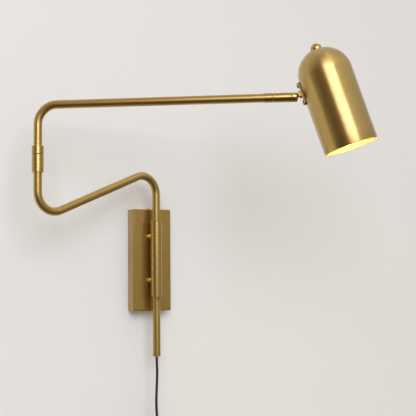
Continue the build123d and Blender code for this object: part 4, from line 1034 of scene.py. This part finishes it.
class SCONCE_OT_shade(bpy.types.Operator):
    """Spins the domed shade, brushed outside and painted paler inside to stand in for the bulb's light"""
    bl_idname = "sconce.shade"
    bl_label = "Spin the shade"

    def execute(self, context):
        sizes, finishes = context.scene.sconce_sizes, context.scene.sconce_finishes
        outside, inside = shade_profile(sizes)
        spun = turn_on_axis(outside + inside, DOME_CENTRE, SHADE_UP, SHADE_SIDES, "along_shade")
        # The inside faces take the paler lining, which is painted light for the bulb's glow.
        for face in spun.faces:
            centre = face.calc_center_median()
            if face.normal.dot(centre - nearest_on_axis(centre)) < 0:
                face.material_index = 1
        shell = from_bmesh("brass_shade", spun, 40)
        shell.data.materials.append(satin_brass("shade_brass", finishes, DOME_CENTRE, SHADE_UP, TURNED, 0.0,
                                                finishes.brass_roughness + 0.02, "along_shade", 0.55))
        shell.data.materials.append(shade_lining("shade_lining", finishes))
        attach(shell, "head")
        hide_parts("shade")
        finish(satin_brass("cap_nut_brass", finishes, middle("shade_cap_nut"), SHADE_UP, TURNED, 0.3 * MM,
                           0.17), "polished_brass", "shade_cap_nut")
        return {"FINISHED"}


def nearest_on_axis(point):
    """The foot of a point on the shade's axis, no higher than the dome's centre."""
    height = (point - DOME_CENTRE).dot(SHADE_UP)
    return DOME_CENTRE + SHADE_UP * min(0.0, height)


class SCONCE_OT_lampholder(bpy.types.Operator):
    """Finishes the lampholder and lights the bulb"""
    bl_idname = "sconce.lampholder"
    bl_label = "Light the bulb"

    def execute(self, context):
        finishes = context.scene.sconce_finishes
        finish(moulded("holder_phenolic", (0.035, 0.028, 0.022), 0.30, 1.2 * MM), "holder_plastic",
               "lampholder", "holder_core")
        finish(plain_metal("cap_nickel", (0.74, 0.72, 0.66), (0.55, 0.53, 0.47), 0.25, middle("bulb_base"),
                           SHADE_UP, (20 * MM, 20 * MM, 1.2 * MM)), "contact_metal",
               "screw_shell", "centre_contact", "bulb_base")
        finish(lit_glass("bulb_glow", finishes), "bulb_glass", "bulb_glass")
        return {"FINISHED"}


# ---------------------------------------------------------------- the add-on
class SCONCE_PT_panel(bpy.types.Panel):
    """The sconce's sizes, finishes and pieces"""
    bl_idname = "SCONCE_PT_panel"
    bl_label = "Swing Arm Wall Sconce"
    bl_space_type = "VIEW_3D"
    bl_region_type = "UI"
    bl_category = "Sconce"

    def draw(self, context):
        layout, scene = self.layout, context.scene
        for title, group in (("Sizes", scene.sconce_sizes), ("Finishes", scene.sconce_finishes),
                             ("Stage", scene.sconce_stage)):
            box = layout.box()
            box.label(text=title)
            for name in group.__annotations__:
                box.prop(group, name)
        column = layout.column(align=True)
        for operator in PIECES:
            column.operator(operator.bl_idname)


PIECES = (SCONCE_OT_stage, SCONCE_OT_cord, SCONCE_OT_switch, SCONCE_OT_screws, SCONCE_OT_arms, SCONCE_OT_mount,
          SCONCE_OT_swivel, SCONCE_OT_shade, SCONCE_OT_lampholder)
CLASSES = (SconceFinishes, SconceSizes, SconceStage, *PIECES, SCONCE_PT_panel)


def register():
    """Adds the classes and the sconce's properties."""
    for made in CLASSES:
        bpy.utils.register_class(made)
    bpy.types.Scene.sconce_finishes = PointerProperty(type=SconceFinishes)
    bpy.types.Scene.sconce_sizes = PointerProperty(type=SconceSizes)
    bpy.types.Scene.sconce_stage = PointerProperty(type=SconceStage)


def unregister():
    """Takes them away again."""
    del bpy.types.Scene.sconce_stage
    del bpy.types.Scene.sconce_sizes
    del bpy.types.Scene.sconce_finishes
    for made in reversed(CLASSES):
        bpy.utils.unregister_class(made)


def main():
    """Makes every piece in order."""
    register()
    for operator in PIECES:
        group, name = operator.bl_idname.split(".")
        getattr(getattr(bpy.ops, group), name)()


if __name__ == "__main__":
    main()
